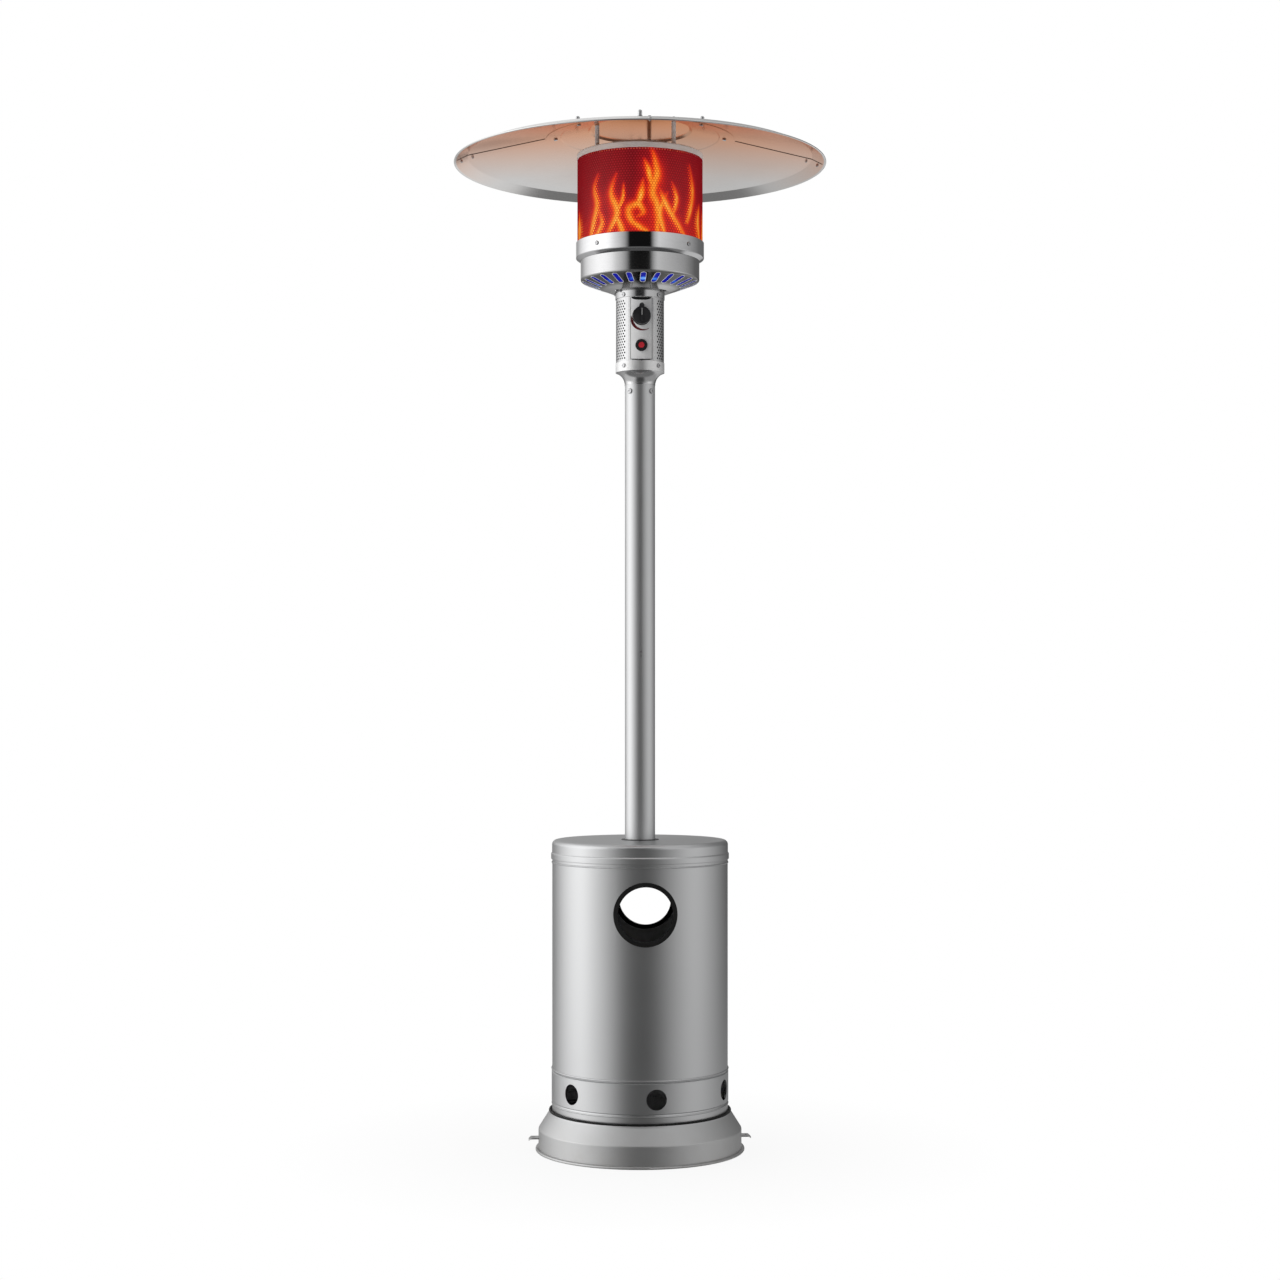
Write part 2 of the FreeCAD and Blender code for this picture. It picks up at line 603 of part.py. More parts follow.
def make_access_trims():
    """Rubber edging in the two access holes, grooved over the edge of the sheet."""
    depth = size("trim_front_radius - trim_back_radius")
    ring = Part.makeCylinder(size("trim_outer"), 60).cut(Part.makeCylinder(size("trim_inner"), 60))
    ring = facing_out(ring, size("shell_radius - 40"), size("access_level"))
    level = size("access_level - 2*trim_outer")
    height = size("4*trim_outer")
    outside = Part.makeCylinder(size("trim_front_radius"), height, Vector(0, 0, level))
    inside = Part.makeCylinder(size("trim_front_radius") - depth, height, Vector(0, 0, level))
    sheet_out = Part.makeCylinder(size("shell_radius + running_gap"), height, Vector(0, 0, level))
    inner_radius = size("shell_radius - shell_sheet - running_gap")
    sheet_in = Part.makeCylinder(inner_radius, height, Vector(0, 0, level))
    hole = facing_out(Part.makeCylinder(size("access_radius - running_gap"), 80), size("shell_radius - 40"),
                      size("access_level"))
    trim = ring.common(outside.cut(inside)).cut(sheet_out.cut(sheet_in).cut(hole))
    node(feature("trim_front", trim), "access_trim_front")
    node(feature("trim_rear", around(trim, size("access_rear_angle"))), "access_trim_rear")


def make_housing_lid():
    """A pressed lid with a rolled corner over the drum's top edge."""
    outline = [
        ("bead_radius", "bead_foot"), ("bead_radius", "bead_top"), ("lid_radius", "lid_skirt_foot"),
        ("lid_radius", "lid_top - lid_corner", "lid_corner"), ("lid_radius - lid_corner", "lid_top"),
        ("lid_hole", "lid_top"), ("lid_hole", "lid_top - shell_sheet"),
        ("lid_radius - lid_corner", "lid_top - shell_sheet", "- lid_corner + shell_sheet"),
        ("lid_radius - shell_sheet", "lid_top - lid_corner"), ("lid_radius - shell_sheet", "lid_skirt_foot"),
        ("bead_radius - shell_sheet", "bead_top"), ("bead_radius - shell_sheet", "bead_foot")]
    rounds = [("bead_radius", "bead_foot", "1"), ("bead_radius", "bead_top", "2")]
    node(turned("lid", outline, rounds), "housing_lid")


def make_pole_grommet():
    """A plastic ring that guides the lid along the pole."""
    sheet_top = "lid_top + running_gap"
    sheet_foot = "lid_top - shell_sheet - running_gap"
    groove = "lid_hole - running_gap"
    outline = [
        ("grommet_bore", sheet_foot + " - grommet_back"), ("grommet_radius", sheet_foot + " - grommet_back"),
        ("grommet_radius", sheet_foot), (groove, sheet_foot), (groove, sheet_top),
        ("grommet_radius", sheet_top), ("grommet_radius", sheet_top + " + 0.5*grommet_lip"),
        ("grommet_radius - 1", sheet_top + " + grommet_lip"), ("grommet_bore", sheet_top + " + grommet_lip")]
    node(turned("grommet", outline), "pole_grommet")


# ---- control housing ----------------------------------------------------------------------

def make_control_housing():
    """A tube with a flat on its front, cut open behind the control plate."""
    height = size("head_top - head_foot")
    foot = size("head_foot")
    skins = []
    for inset in (0.0, size("head_sheet")):
        drum = Part.makeCylinder(size("head_radius") - inset, height, Vector(0, 0, foot))
        flat_foot = size("flat_foot") - inset
        flat_height = size("flat_top - flat_foot") + 2 * inset
        shaving = Part.makeBox(200, 100, flat_height)
        shaving.translate(Vector(-100, -100 - size("flat_depth") + inset, flat_foot))
        skins.append(drum.cut(shaving))
    window = Part.makeBox(size("window_width"), 20, size("window_top - window_foot"))
    window.translate(Vector(-size("window_width") / 2, -size("head_radius") - 1, size("window_foot")))
    body = skins[0].cut(skins[1]).cut(window)
    shell = feature("control_shell", body)
    holes = corner_holes(1.8, size("head_radius"), size("ring_low_screws"))
    holes += corner_holes(1.8, size("head_radius"), size("ring_high_screws"))
    node(pierced("control_housing_cut", shell, holes), "control_housing")


def make_head_rings():
    """Chrome rings that close the control housing below and above."""
    low = [
        ("ring_flange_inner", "flare_top"), ("ring_low_radius", "flare_top"),
        ("ring_low_radius", "ring_low_top"), ("ring_inner", "ring_low_top"),
        ("ring_inner", "head_foot"), ("ring_flange_inner", "head_foot")]
    high = [
        ("ring_inner", "ring_high_foot"), ("ring_high_radius", "ring_high_foot"),
        ("ring_high_radius", "ring_high_top"), ("ring_flange_inner", "ring_high_top"),
        ("ring_flange_inner", "head_top"), ("ring_inner", "head_top")]
    low_ring = turned("low_ring", low)
    high_ring = turned("high_ring", high)
    low_holes = corner_holes(1.8, size("ring_low_radius"), size("ring_low_screws"))
    high_holes = corner_holes(1.8, size("ring_high_radius"), size("ring_high_screws"))
    node(pierced("low_ring_cut", low_ring, low_holes), "head_ring_lower")
    node(pierced("high_ring_cut", high_ring, high_holes), "head_ring_upper")
    screws = corner_screws(4.8, 1.7, size("ring_low_radius"), size("ring_low_screws"), 5)
    screws += corner_screws(4.8, 1.7, size("ring_high_radius"), size("ring_high_screws"), 5)
    node(feature("ring_screws", Part.makeCompound(screws)), "head_ring_screws")


def make_control_plate():
    """A flat plate with a dipped top edge, and holes for the stem and the igniter."""
    body = doc.addObject("PartDesign::Body", "plate")
    sketch = attached_sketch(body, "plate_outline", "XZ_Plane")
    half = "0.5*plate_width"
    outline = [
        ("0 - " + half, "plate_foot"), (half, "plate_foot"), (half, "plate_top", "- 10*plate_dip"),
        ("0 - " + half, "plate_top")]
    sketch_outline(sketch, outline)
    pad = body.newObject("PartDesign::Pad", "plate_pad")
    pad.Profile = sketch
    pad.Length = size("flat_depth + plate_sheet")
    bind(pad, Length="flat_depth + plate_sheet")
    doc.recompute()
    behind = box("plate_behind", ("0 - plate_width", "0 - flat_depth", "plate_foot - 10"),
                 ("2*plate_width", "2*flat_depth", "plate_top - plate_foot + 20"))
    plate = cut("plate_sheet_only", body, behind)
    stem = lying_cylinder("plate_stem_hole", "stem_hole", "knob_back", "20", "knob_level")
    igniter = lying_cylinder("plate_igniter_hole", "barrel_radius + running_gap", "knob_back", "20",
                             "igniter_level")
    node(cut("control_plate_cut", plate, fuse("plate_holes", [stem, igniter])), "control_plate")


def make_knob():
    """A round knob with a pointer lobe that stands up in the off position."""
    disc = lying_cylinder("knob_disc", "knob_radius", "knob_back + knob_depth", "knob_depth", "knob_level")
    skirt = lying_cylinder("knob_skirt", "knob_radius + 1", "knob_back + 4", "4", "knob_level")
    lobe = lying_cylinder("knob_lobe", "0.5*pointer_width", "knob_back + knob_depth", "knob_depth",
                          "knob_level + pointer_reach - 0.5*pointer_width")
    neck = box("knob_neck", ("0 - 0.5*pointer_width", "0 - knob_back - knob_depth", "knob_level"),
               ("pointer_width", "knob_depth", "pointer_reach - 0.5*pointer_width"))
    grip_foot = ("0 - 0.2*pointer_width", "0 - knob_back - pointer_depth", "knob_level - 0.7*knob_radius")
    grip = box("knob_grip", grip_foot, ("0.4*pointer_width", "pointer_depth", "1.6*knob_radius"))
    blank = fuse("knob_blank", [disc, skirt, lobe, neck, grip])
    bore = lying_cylinder("knob_bore", "stem_radius + 0.4*running_gap", "knob_back + 10", "30", "knob_level")
    node(cut("control_knob_cut", blank, bore), "control_knob")
    stem = lying_cylinder("stem", "stem_radius", "knob_back + 10", "knob_back + 10 - stem_inner_end",
                          "knob_level")
    node(stem, "valve_stem")


def make_valve():
    """The gas valve's body, and the plug that the stem turns in it."""
    plug = lying_cylinder("plug_blank", "plug_radius", "plug_front", "plug_front - plug_back", "knob_level")
    socket = lying_cylinder("plug_socket", "stem_radius + running_gap", "plug_front + 1",
                            "plug_front + 1 - plug_back - 4", "knob_level")
    node(cut("valve_plug_cut", plug, socket), "valve_plug")
    block = box("valve_block", ("0 - 0.5*valve_width", "0 - valve_front + 8", "valve_foot"),
                ("valve_width", "valve_front + valve_rear - 8", "valve_top - valve_foot"))
    nose = lying_cylinder("valve_nose", "plug_radius + 5", "valve_front", "12", "knob_level")
    blank = fuse("valve_blank", [block, nose])
    bore = lying_cylinder("valve_bore", "plug_radius + running_gap", "valve_front + 1",
                          "valve_front + 2 - plug_back", "knob_level")
    node(cut("gas_valve_cut", blank, bore), "gas_valve")


def make_igniter():
    """A push-button piezo igniter: bezel, button and the sealed barrel behind them."""
    lip = lying_cylinder("bezel_lip_disc", "bezel_radius", "flat_depth + plate_sheet + bezel_lip",
                         "bezel_lip", "igniter_level")
    barrel = lying_cylinder("bezel_barrel", "barrel_radius", "flat_depth + plate_sheet",
                            "flat_depth + plate_sheet - barrel_back", "igniter_level")
    bore = lying_cylinder("bezel_bore", "button_bore", "flat_depth + 10", "flat_depth", "igniter_level")
    node(cut("bezel_cut", fuse("bezel_blank", [lip, barrel]), bore), "igniter_bezel")
    cap = lying_cylinder("button_cap", "button_radius", "button_front", "button_length", "igniter_level")
    plunger = lying_cylinder("button_plunger", "plunger_radius", "button_front - button_length + 1",
                             "button_front - button_length + 1 - plunger_end", "igniter_level")
    node(fuse("button", [cap, plunger]), "igniter_button")
    piezo = lying_cylinder("piezo_blank", "piezo_radius", "barrel_back", "barrel_back + piezo_end",
                           "igniter_level")
    socket = lying_cylinder("piezo_socket", "plunger_bore", "barrel_back + 1", "11", "igniter_level")
    node(cut("piezo_cut", piezo, socket), "piezo_igniter")


def make_tilt_switch():
    blank = box("tilt_blank", ("0 - 42", "0 - 11", "igniter_level - 8"), ("16", "22", "32"))
    node(blank, "tilt_switch")


# ---- gas line -----------------------------------------------------------------------------

def make_gas_feed():
    """A rigid tube from the inlet under the pole's flange up to the valve."""
    rod = doc.addObject("Part::Cylinder", "feed")
    bind(rod, Radius="feed_radius", Height="valve_foot - feed_foot")
    bind(rod, Placement__Base__y="feed_offset", Placement__Base__z="feed_foot")
    node(rod, "gas_feed_tube")
    place = Vector(0, size("feed_offset"), size("inlet_foot"))
    spigot_length = size("inlet_spigot_length")
    spigot = Part.makeCylinder(size("inlet_spigot_radius"), spigot_length)
    nut = hex_prism(size("inlet_hex"), size("feed_foot - inlet_foot") - spigot_length, spigot_length)
    bore = Part.makeCylinder(3, spigot_length + 4)
    fitting = spigot.fuse(nut).cut(bore).removeSplitter()
    fitting.translate(place)
    node(feature("inlet", fitting), "gas_inlet_fitting")


def make_pilot_lines():
    """Pilot tube, thermocouple and spark lead, up through the neck of the bowl to the pilot."""
    ring = size("pilot_ring")
    valve_top = size("valve_top")
    end = size("burner_foot")
    turn_level = end - 34
    igniter = size("igniter_level")
    routes = (
        ("pilot_tube", 2.0, [Vector(14, 13, valve_top), Vector(14, 13, turn_level),
                             Vector(ring, 13, turn_level), Vector(ring, 13, end)]),
        ("thermocouple", 1.5, [Vector(14, -15, valve_top), Vector(14, -15, turn_level),
                               Vector(ring, -15, turn_level), Vector(ring, -15, end)]),
        ("spark_lead", 1.8, [Vector(size("piezo_radius") + 0.1, -2, igniter), Vector(38, -2, igniter),
                             Vector(38, -2, turn_level), Vector(ring, -2, turn_level),
                             Vector(ring, -2, end)]))
    for name, radius, points in routes:
        node(feature(name + "_rod", swept_rod(points, 12, radius)), name)


def make_pilot():
    """A bracket beside the burner with the pilot's hood, and the spark electrode on it."""
    ring = size("pilot_ring")
    level = size("burner_foot")
    plate = size("pilot_plate")
    bracket = Part.makeBox(ring + 12 - size("burner_radius"), 40, plate)
    bracket.translate(Vector(size("burner_radius"), -20, level))
    hood = Part.makeCylinder(6, 20, Vector(ring, 13, level + plate))
    hood = hood.cut(Part.makeCylinder(4.5, 20, Vector(ring, 13, level + plate + 2)))
    probe = Part.makeCylinder(2.5, 24, Vector(ring, -14, level + plate))
    node(feature("pilot", bracket.fuse([hood, probe]).removeSplitter()), "pilot_burner")
    porcelain = Part.makeCylinder(3.5, 20, Vector(ring, -2, level + plate))
    tip = Part.makeCylinder(1.2, 12, Vector(ring, -2, level + plate + 20))
    node(feature("electrode", porcelain.fuse(tip).removeSplitter()), "spark_electrode")


# ---- burner -------------------------------------------------------------------------------

def make_mixer():
    """The injector on the valve's outlet and the mixing tube above it, with air windows."""
    injector = hex_prism(15, size("injector_top - valve_top"), size("valve_top"))
    injector = injector.fuse(Part.makeCylinder(4, 8, Vector(0, 0, size("injector_top"))))
    node(feature("injector", injector.removeSplitter()), "gas_injector")
    radius = size("mixer_radius")
    height = size("burner_foot - injector_top")
    pipe = Part.makeCylinder(radius, height, Vector(0, 0, size("injector_top")))
    pipe = pipe.cut(Part.makeCylinder(radius - 1.5, height, Vector(0, 0, size("injector_top"))))
    air_window = Part.makeBox(9, 40, 16, Vector(-4.5, -20, size("injector_top") + 6))
    pipe = pipe.cut(air_window).cut(around(air_window, 90))
    node(feature("mixer", pipe), "mixing_tube")


def make_burner_head():
    """A hollow burner drum with a ring of ports in its top."""
    inner = "mixer_radius - 1.5"
    outline = [
        (inner, "burner_foot"), ("burner_radius", "burner_foot"), ("burner_radius", "burner_top"),
        ("0", "burner_top"), ("0", "burner_top - burner_sheet"),
        ("burner_radius - burner_sheet", "burner_top - burner_sheet"),
        ("burner_radius - burner_sheet", "burner_foot + burner_sheet"), (inner, "burner_foot + burner_sheet")]
    drum = turned("burner_drum", outline)
    port = Part.makeCylinder(size("port_radius"), 10)
    port.translate(Vector(0, -size("port_ring"), size("burner_top") - 5))
    node(pierced("burner_head_cut", drum, ring_of(port, int(size("port_count")), 0)), "burner_head")


def make_burner_bowl():
    """A spun bowl with radial air slots in its sloping floor."""
    inner = "bowl_radius - bowl_sheet"
    outline = [
        ("bowl_hole", "bowl_foot"), ("bowl_flat", "bowl_foot"), ("bowl_radius", "bowl_edge"),
        ("bowl_radius", "bowl_top"), (inner, "bowl_top"), (inner, "bowl_edge + bowl_sheet"),
        ("bowl_flat", "bowl_foot + bowl_sheet"), ("bowl_hole", "bowl_foot + bowl_sheet")]
    rounds = [(inner, "bowl_edge + bowl_sheet", "bowl_corner - bowl_sheet"),
              ("bowl_radius", "bowl_edge", "bowl_corner")]
    body = turned("bowl", outline, rounds)
    whole = body.Shape.Volume
    sketch = attached_sketch(body, "slot_outline", "XY_Plane")
    half = "0.5*slot_width"
    slot = [
        (half, "0 - slot_outer + 0.5*slot_width"), (half, "0 - slot_inner - 0.5*slot_width", half),
        ("0 - " + half, "0 - slot_inner - 0.5*slot_width"),
        ("0 - " + half, "0 - slot_outer + 0.5*slot_width", half)]
    sketch_outline(sketch, slot)
    pocket = body.newObject("PartDesign::Pocket", "slot")
    pocket.Profile = sketch
    pocket.Type = "ThroughAll"
    pocket.SideType = "Symmetric"
    doc.recompute()
    pattern = body.newObject("PartDesign::PolarPattern", "slots")
    pattern.Originals = [pocket]
    axis = [item for item in body.Origin.OriginFeatures if item.Role == "Z_Axis"][0]
    pattern.Axis = (axis, [""])
    pattern.Angle = 360
    pattern.Occurrences = int(size("slot_count"))
    pattern.setExpression("Occurrences", bound("slot_count"))
    body.Tip = pattern
    doc.recompute()
    if body.Shape.Volume > whole - 5000:
        raise RuntimeError("the bowl's slots cut nothing")
    bolt_hole = Part.makeCylinder(2.2, 30, Vector(0, -size("bowl_bolt_ring"), size("bowl_foot") - 10))
    holes = [around(bolt_hole, angle) for angle in bowl_bolt_angles()]
    node(pierced("burner_bowl_cut", body, holes), "burner_bowl")


def bowl_bolt_angles():
    """Angles of the four bolts under the bowl."""
    angle = size("bowl_bolt_angle")
    return (angle, -angle, 180 - angle, angle - 180)


def make_bowl_bolts():
    """Four small bolts that hang under the bowl beside the upper ring."""
    bolt = bolt_and_nut(2, size("bowl_sheet"), 3)
    bolt.rotate(Vector(0, 0, 0), Vector(1, 0, 0), 180)
    bolt.translate(Vector(0, -size("bowl_bolt_ring"), size("bowl_foot")))
    bolts = Part.makeCompound([around(bolt, angle) for angle in bowl_bolt_angles()])
    node(feature("bowl_bolt_group", bolts), "bowl_bolts")


def make_collar():
    """A wider band above the bowl that holds the foot of the emitter screen."""
    outline = [
        ("collar_seat", "collar_foot"), ("collar_radius", "collar_step"), ("collar_radius", "collar_top"),
        ("collar_radius - bowl_sheet", "collar_top"),
        ("collar_radius - bowl_sheet", "collar_step + bowl_sheet"),
        ("collar_seat", "collar_foot + 1.3*bowl_sheet")]
    collar = turned("collar", outline, [("collar_radius", "collar_step", "2")])
    holes = corner_holes(2.1, size("collar_radius"), size("collar_screws"))
    node(pierced("burner_collar_cut", collar, holes), "burner_collar")
    screws = corner_screws(4.8, 2, size("collar_radius"), size("collar_screws"), 6)
    node(feature("collar_screw_group", Part.makeCompound(screws)), "collar_screws")


def make_emitter_tray():
    """The ring that carries the emitter screen inside the collar."""
    foot = "tray_top - 2*bowl_sheet"
    outline = [
        ("tray_hole", foot), ("tray_radius - bowl_sheet", foot), ("tray_radius - bowl_sheet", "tray_foot"),
        ("tray_radius", "tray_foot"), ("tray_radius", "tray_top"), ("tray_hole", "tray_top")]
    tray = turned("tray", outline)
    holes = corner_holes(2.1, size("tray_radius"), size("collar_screws"))
    node(pierced("emitter_tray_cut", tray, holes), "emitter_tray")


# ---- emitter, studs and reflector ---------------------------------------------------------

def make_emitter():
    screen = tube("screen", "screen_radius", "screen_radius - screen_sheet", "tray_top",
                  "screen_top - tray_top")
    node(screen, "emitter_screen")
    inner = "screen_radius + running_gap"
    outline = [
        ("cap_radius", "cap_foot"), ("cap_radius", "cap_top"), ("dome_foot_radius", "cap_top"),
        ("dome_top_radius", "dome_top"), ("0", "dome_top"), ("0", "dome_top - cap_sheet"),
        ("dome_top_radius - 0.7*cap_sheet", "dome_top - cap_sheet"),
        ("dome_foot_radius - 0.7*cap_sheet", "cap_top - cap_sheet"), (inner, "cap_top - cap_sheet"),
        (inner, "cap_foot")]
    rounds = [("cap_radius", "cap_top", "2"), ("dome_top_radius", "dome_top", "2")]
    cap = turned("cap", outline, rounds)
    hole = Part.makeCylinder(size("stud_thread_radius + 0.2"), 20)
    hole.translate(Vector(0, -size("stud_ring"), size("cap_top") - 10))
    node(pierced("emitter_cap_cut", cap, ring_of(hole, 3, size("stud_first_angle"))), "emitter_cap")


def make_studs():
    """Three shouldered studs that hold the reflector above the emitter, with their nuts."""
    ring = Vector(0, -size("stud_ring"), 0)
    thread = size("stud_thread_radius")
    cap_top = size("cap_top")
    shoulder = Part.makeCylinder(size("stud_radius"), size("dish_flat") - cap_top, Vector(0, 0, cap_top))
    rod = Part.makeCylinder(thread, size("stud_end - stud_foot"), Vector(0, 0, size("stud_foot")))
    stud = shoulder.fuse(rod).removeSplitter()
    stud.translate(ring)
    node(feature("studs", Part.makeCompound(ring_of(stud, 3, size("stud_first_angle")))), "reflector_studs")
    under_cap = hex_prism(10, 5, size("cap_top - cap_sheet") - 5)
    under_cap = under_cap.cut(Part.makeCylinder(thread + 0.02, 20, Vector(0, 0, size("stud_foot") - 1)))
    sheet_top = size("dish_flat + dish_sheet")
    acorn = hex_prism(11, 7, sheet_top)
    dome_height = size("cap_nut_top") - sheet_top - 7
    acorn = acorn.fuse(Part.makeCylinder(4.5, dome_height, Vector(0, 0, sheet_top + 7))).removeSplitter()
    acorn = acorn.makeFillet(3, top_edges(acorn))
    socket_depth = size("stud_end") - sheet_top + 0.5
    socket = Part.makeCylinder(thread + 0.02, socket_depth, Vector(0, 0, sheet_top - 0.1))
    acorn = acorn.cut(socket)
    nuts = []
    for nut in (under_cap, acorn):
        nut.translate(ring)
        nuts += ring_of(nut, 3, size("stud_first_angle"))
    node(feature("stud_nut_group", Part.makeCompound(nuts)), "stud_nuts")


def top_edges(shape):
    """Edges that lie in a shape's top plane."""
    top = shape.BoundBox.ZMax
    return [edge for edge in shape.Edges if edge.BoundBox.ZMin > top - 0.01]


def dish_line(radius, offset="0"):
    """Corner of the reflector's cone at a radius, lifted by an offset."""
    return (radius, "dish_apex - dish_slope*" + radius + " + " + offset)


def make_reflector_centre():
    """The middle of the reflector, joggled down at its edge to carry the panels."""
    under = [
        ("0", "dish_flat"), ("dish_flat_radius", "dish_flat"), dish_line("dish_step_radius"),
        dish_line("joggle_radius"), dish_line("joggle_end_radius", "-1*joggle_drop"),
        dish_line("centre_radius", "-1*joggle_drop")]
    over = [(across, up + " + dish_sheet") for across, up in reversed(under)]
    centre = turned("dish_centre", under + over)
    stud_hole = Part.makeCylinder(size("stud_thread_radius + 0.2"), 20)
    stud_hole.translate(Vector(0, -size("stud_ring"), size("dish_flat") - 10))
    holes = ring_of(stud_hole, 3, size("stud_first_angle"))
    node(pierced("reflector_centre_cut", centre, holes + dish_bolt_holes()), "reflector_centre")


def on_dish(shape, radius, slope):
    """Stand a shape made along +Z square on the reflector's outer face at a radius."""
    stood = shape.copy()
    stood.rotate(Vector(0, 0, 0), Vector(1, 0, 0), math.degrees(math.atan(slope)))
    stood.translate(Vector(0, -radius, dish_top(radius)))
    return stood


def dish_top(radius):
    """Level of the reflector's upper face at a radius."""
    bend = size("panel_bend_radius")
    cone = size("dish_apex") - size("dish_slope") * min(radius, bend)
    rim = max(radius - bend, 0.0)
    lean = 1 / math.cos(math.atan(rim_slope())) - 1
    sheet_height = size("dish_sheet") * (1 + lean * rim / (size("rim_radius - 2*rim_bead") - bend))
    return cone + sheet_height - rim_slope() * rim


def rim_slope():
    """Fall of the steeper rim strip, whose underside runs tangent to the rolled bead."""
    bend = size("panel_bend_radius")
    bead = size("rim_bead")
    across = size("rim_radius") - bead - bend
    fall = size("dish_apex") - size("dish_slope") * bend - size("rim_bottom") - bead
    return math.tan(math.atan2(fall, across) + math.asin(bead / math.hypot(across, fall)))


def dish_bolt_holes():
    """Cutters for the eight bolts through the overlap of centre and panels."""
    hole = Part.makeCylinder(2.7, 24, Vector(0, 0, -12))
    hole = on_dish(hole, size("dish_bolt_ring"), size("dish_slope"))
    return ring_of(hole, 8, size("reflector_angle"))


def rim_screw_places():
    """Radius and slope of the two screws in each lapped seam."""
    return ((size("rim_screw_inner"), size("dish_slope")), (size("rim_screw_outer"), rim_slope()))


def seam_angle(number):
    """Angle of the middle of a seam's overlap."""
    return size("reflector_angle") + 90 * number + size("lap_angle") / 2


def make_reflector_panels():
    """Four quarter panels with a rolled rim; each laps under the next at its seam."""
    bead = size("rim_bead")
    slope = math.atan(rim_slope())
    centre = (size("rim_radius") - bead, size("rim_bottom") + bead)
    along = (math.cos(slope), -math.sin(slope))
    square = (math.sin(slope), math.cos(slope))
    sheet_size = size("dish_sheet")
    depth = bead - sheet_size
    back = math.sqrt(bead * bead - depth * depth)
    under_bead = (centre[0] - bead * square[0], centre[1] - bead * square[1])
    over_bead = (centre[0] + bead * square[0], centre[1] + bead * square[1])
    behind_bead = (centre[0] - depth * square[0] - back * along[0],
                   centre[1] - depth * square[1] - back * along[1])
    number = "%.6f"
    outline = [
        dish_line("panel_inner_radius"), dish_line("panel_bend_radius"),
        (number % under_bead[0], number % under_bead[1], "rim_bead"),
        (number % over_bead[0], number % over_bead[1], "rim_bead"),
        (number % behind_bead[0], number % behind_bead[1]),
        dish_line("panel_bend_radius", "dish_sheet"), dish_line("panel_inner_radius", "dish_sheet")]
    drop = "-1*dish_sheet - running_gap"
    fall = "%.6f" % (rim_slope() * size("lap_outer_radius - panel_bend_radius"))
    rim_level = "dish_apex - dish_slope*panel_bend_radius + " + drop + " - " + fall
    lap_under = [dish_line("lap_inner_radius", drop), dish_line("panel_bend_radius", drop),
                 ("lap_outer_radius", rim_level)]
    lap_over = [(across, up + " + dish_sheet") for across, up in reversed(lap_under)]
    axis = Vector(0, 0, 1)
    quarter = outline_face(outline).revolve(Vector(0, 0, 0), axis, 90)
    quarter.rotate(Vector(0, 0, 0), axis, -90)
    lap = outline_face(lap_under + lap_over).revolve(Vector(0, 0, 0), axis, size("lap_angle") + 0.3)
    lap.rotate(Vector(0, 0, 0), axis, -0.3)
    step_over = [(across, up + " + dish_sheet + running_gap") for across, up in lap_under]
    step = outline_face(lap_under + list(reversed([(a, u + " + dish_sheet") for a, u in step_over])))
    step = step.revolve(Vector(0, 0, 0), axis, 0.3)
    step.rotate(Vector(0, 0, 0), axis, -0.3)
    panel = quarter.fuse([lap, step]).removeSplitter()
    bolts = dish_bolt_holes()
    hole = Part.makeCylinder(1.9, 16, Vector(0, 0, -8))
    screws = []
    for radius, fall_rate in rim_screw_places():
        screws += [around(on_dish(hole, radius, fall_rate), seam_angle(turn)) for turn in range(4)]
    for turn in range(4):
        placed = around(panel, size("reflector_angle") + 90 * turn)
        placed = placed.cut(Part.makeCompound(bolts + screws))
        node(feature("panel_%d" % (turn + 1), placed), "reflector_panel_%d" % (turn + 1))


def make_reflector_bolts():
    """Eight bolts round the centre with domed nuts, and two small screws in each seam."""
    end = size("dish_bolt_end")
    nut = hex_prism(9, 4.5).fuse(Part.makeCylinder(5.8, 1))
    head = Part.makeCylinder(4.6, 2.4)
    head = head.makeFillet(1.4, [head.Edges[0]])
    head.rotate(Vector(0, 0, 0), Vector(1, 0, 0), 180)
    head.translate(Vector(0, 0, -2.4))
    dome = Part.makeCylinder(4.4, end)
    dome = dome.makeFillet(4, top_edges(dome))
    shank = Part.makeCylinder(2.5, 6, Vector(0, 0, -3))
    bolt = nut.fuse([dome, shank, head]).removeSplitter()
    bolt = on_dish(bolt, size("dish_bolt_ring"), size("dish_slope"))
    bolts = Part.makeCompound(ring_of(bolt, 8, size("reflector_angle")))
    node(feature("dish_bolts", bolts), "reflector_bolts")
    screw = pan_screw(3.4, 1.6, 1.7, 6).fuse(hex_prism(5.5, 2.4, -2.2 - 2.4)).removeSplitter()
    screws = []
    for radius, fall_rate in rim_screw_places():
        screws += [around(on_dish(screw, radius, fall_rate), seam_angle(turn)) for turn in range(4)]
    node(feature("seam_screws", Part.makeCompound(screws)), "reflector_seam_screws")


# ---- build, check and write ---------------------------------------------------------------

for make in (make_base_pan, make_base_brace, make_anchor_lugs, make_support_legs, make_leg_bolts,
             make_pole_flange, make_pole, make_neck_flare, make_housing_shell, make_access_trims,
             make_housing_lid, make_pole_grommet, make_control_housing, make_head_rings,
             make_control_plate, make_knob, make_valve, make_igniter, make_tilt_switch, make_gas_feed,
             make_pilot_lines, make_pilot, make_mixer, make_burner_head, make_burner_bowl,
             make_bowl_bolts, make_collar, make_emitter_tray, make_emitter, make_studs,
             make_reflector_centre, make_reflector_panels, make_reflector_bolts):
    make()
doc.recompute()

for item in doc.Objects:
    if "Invalid" in item.State or "Error" in item.State:
        raise RuntimeError("%s failed: %s" % (item.Name, item.State))
for item in NODES:
    if item.Shape.isNull() or not item.Shape.isValid() or not item.Shape.Solids:
        raise RuntimeError("%s has no sound shape" % item.Label)

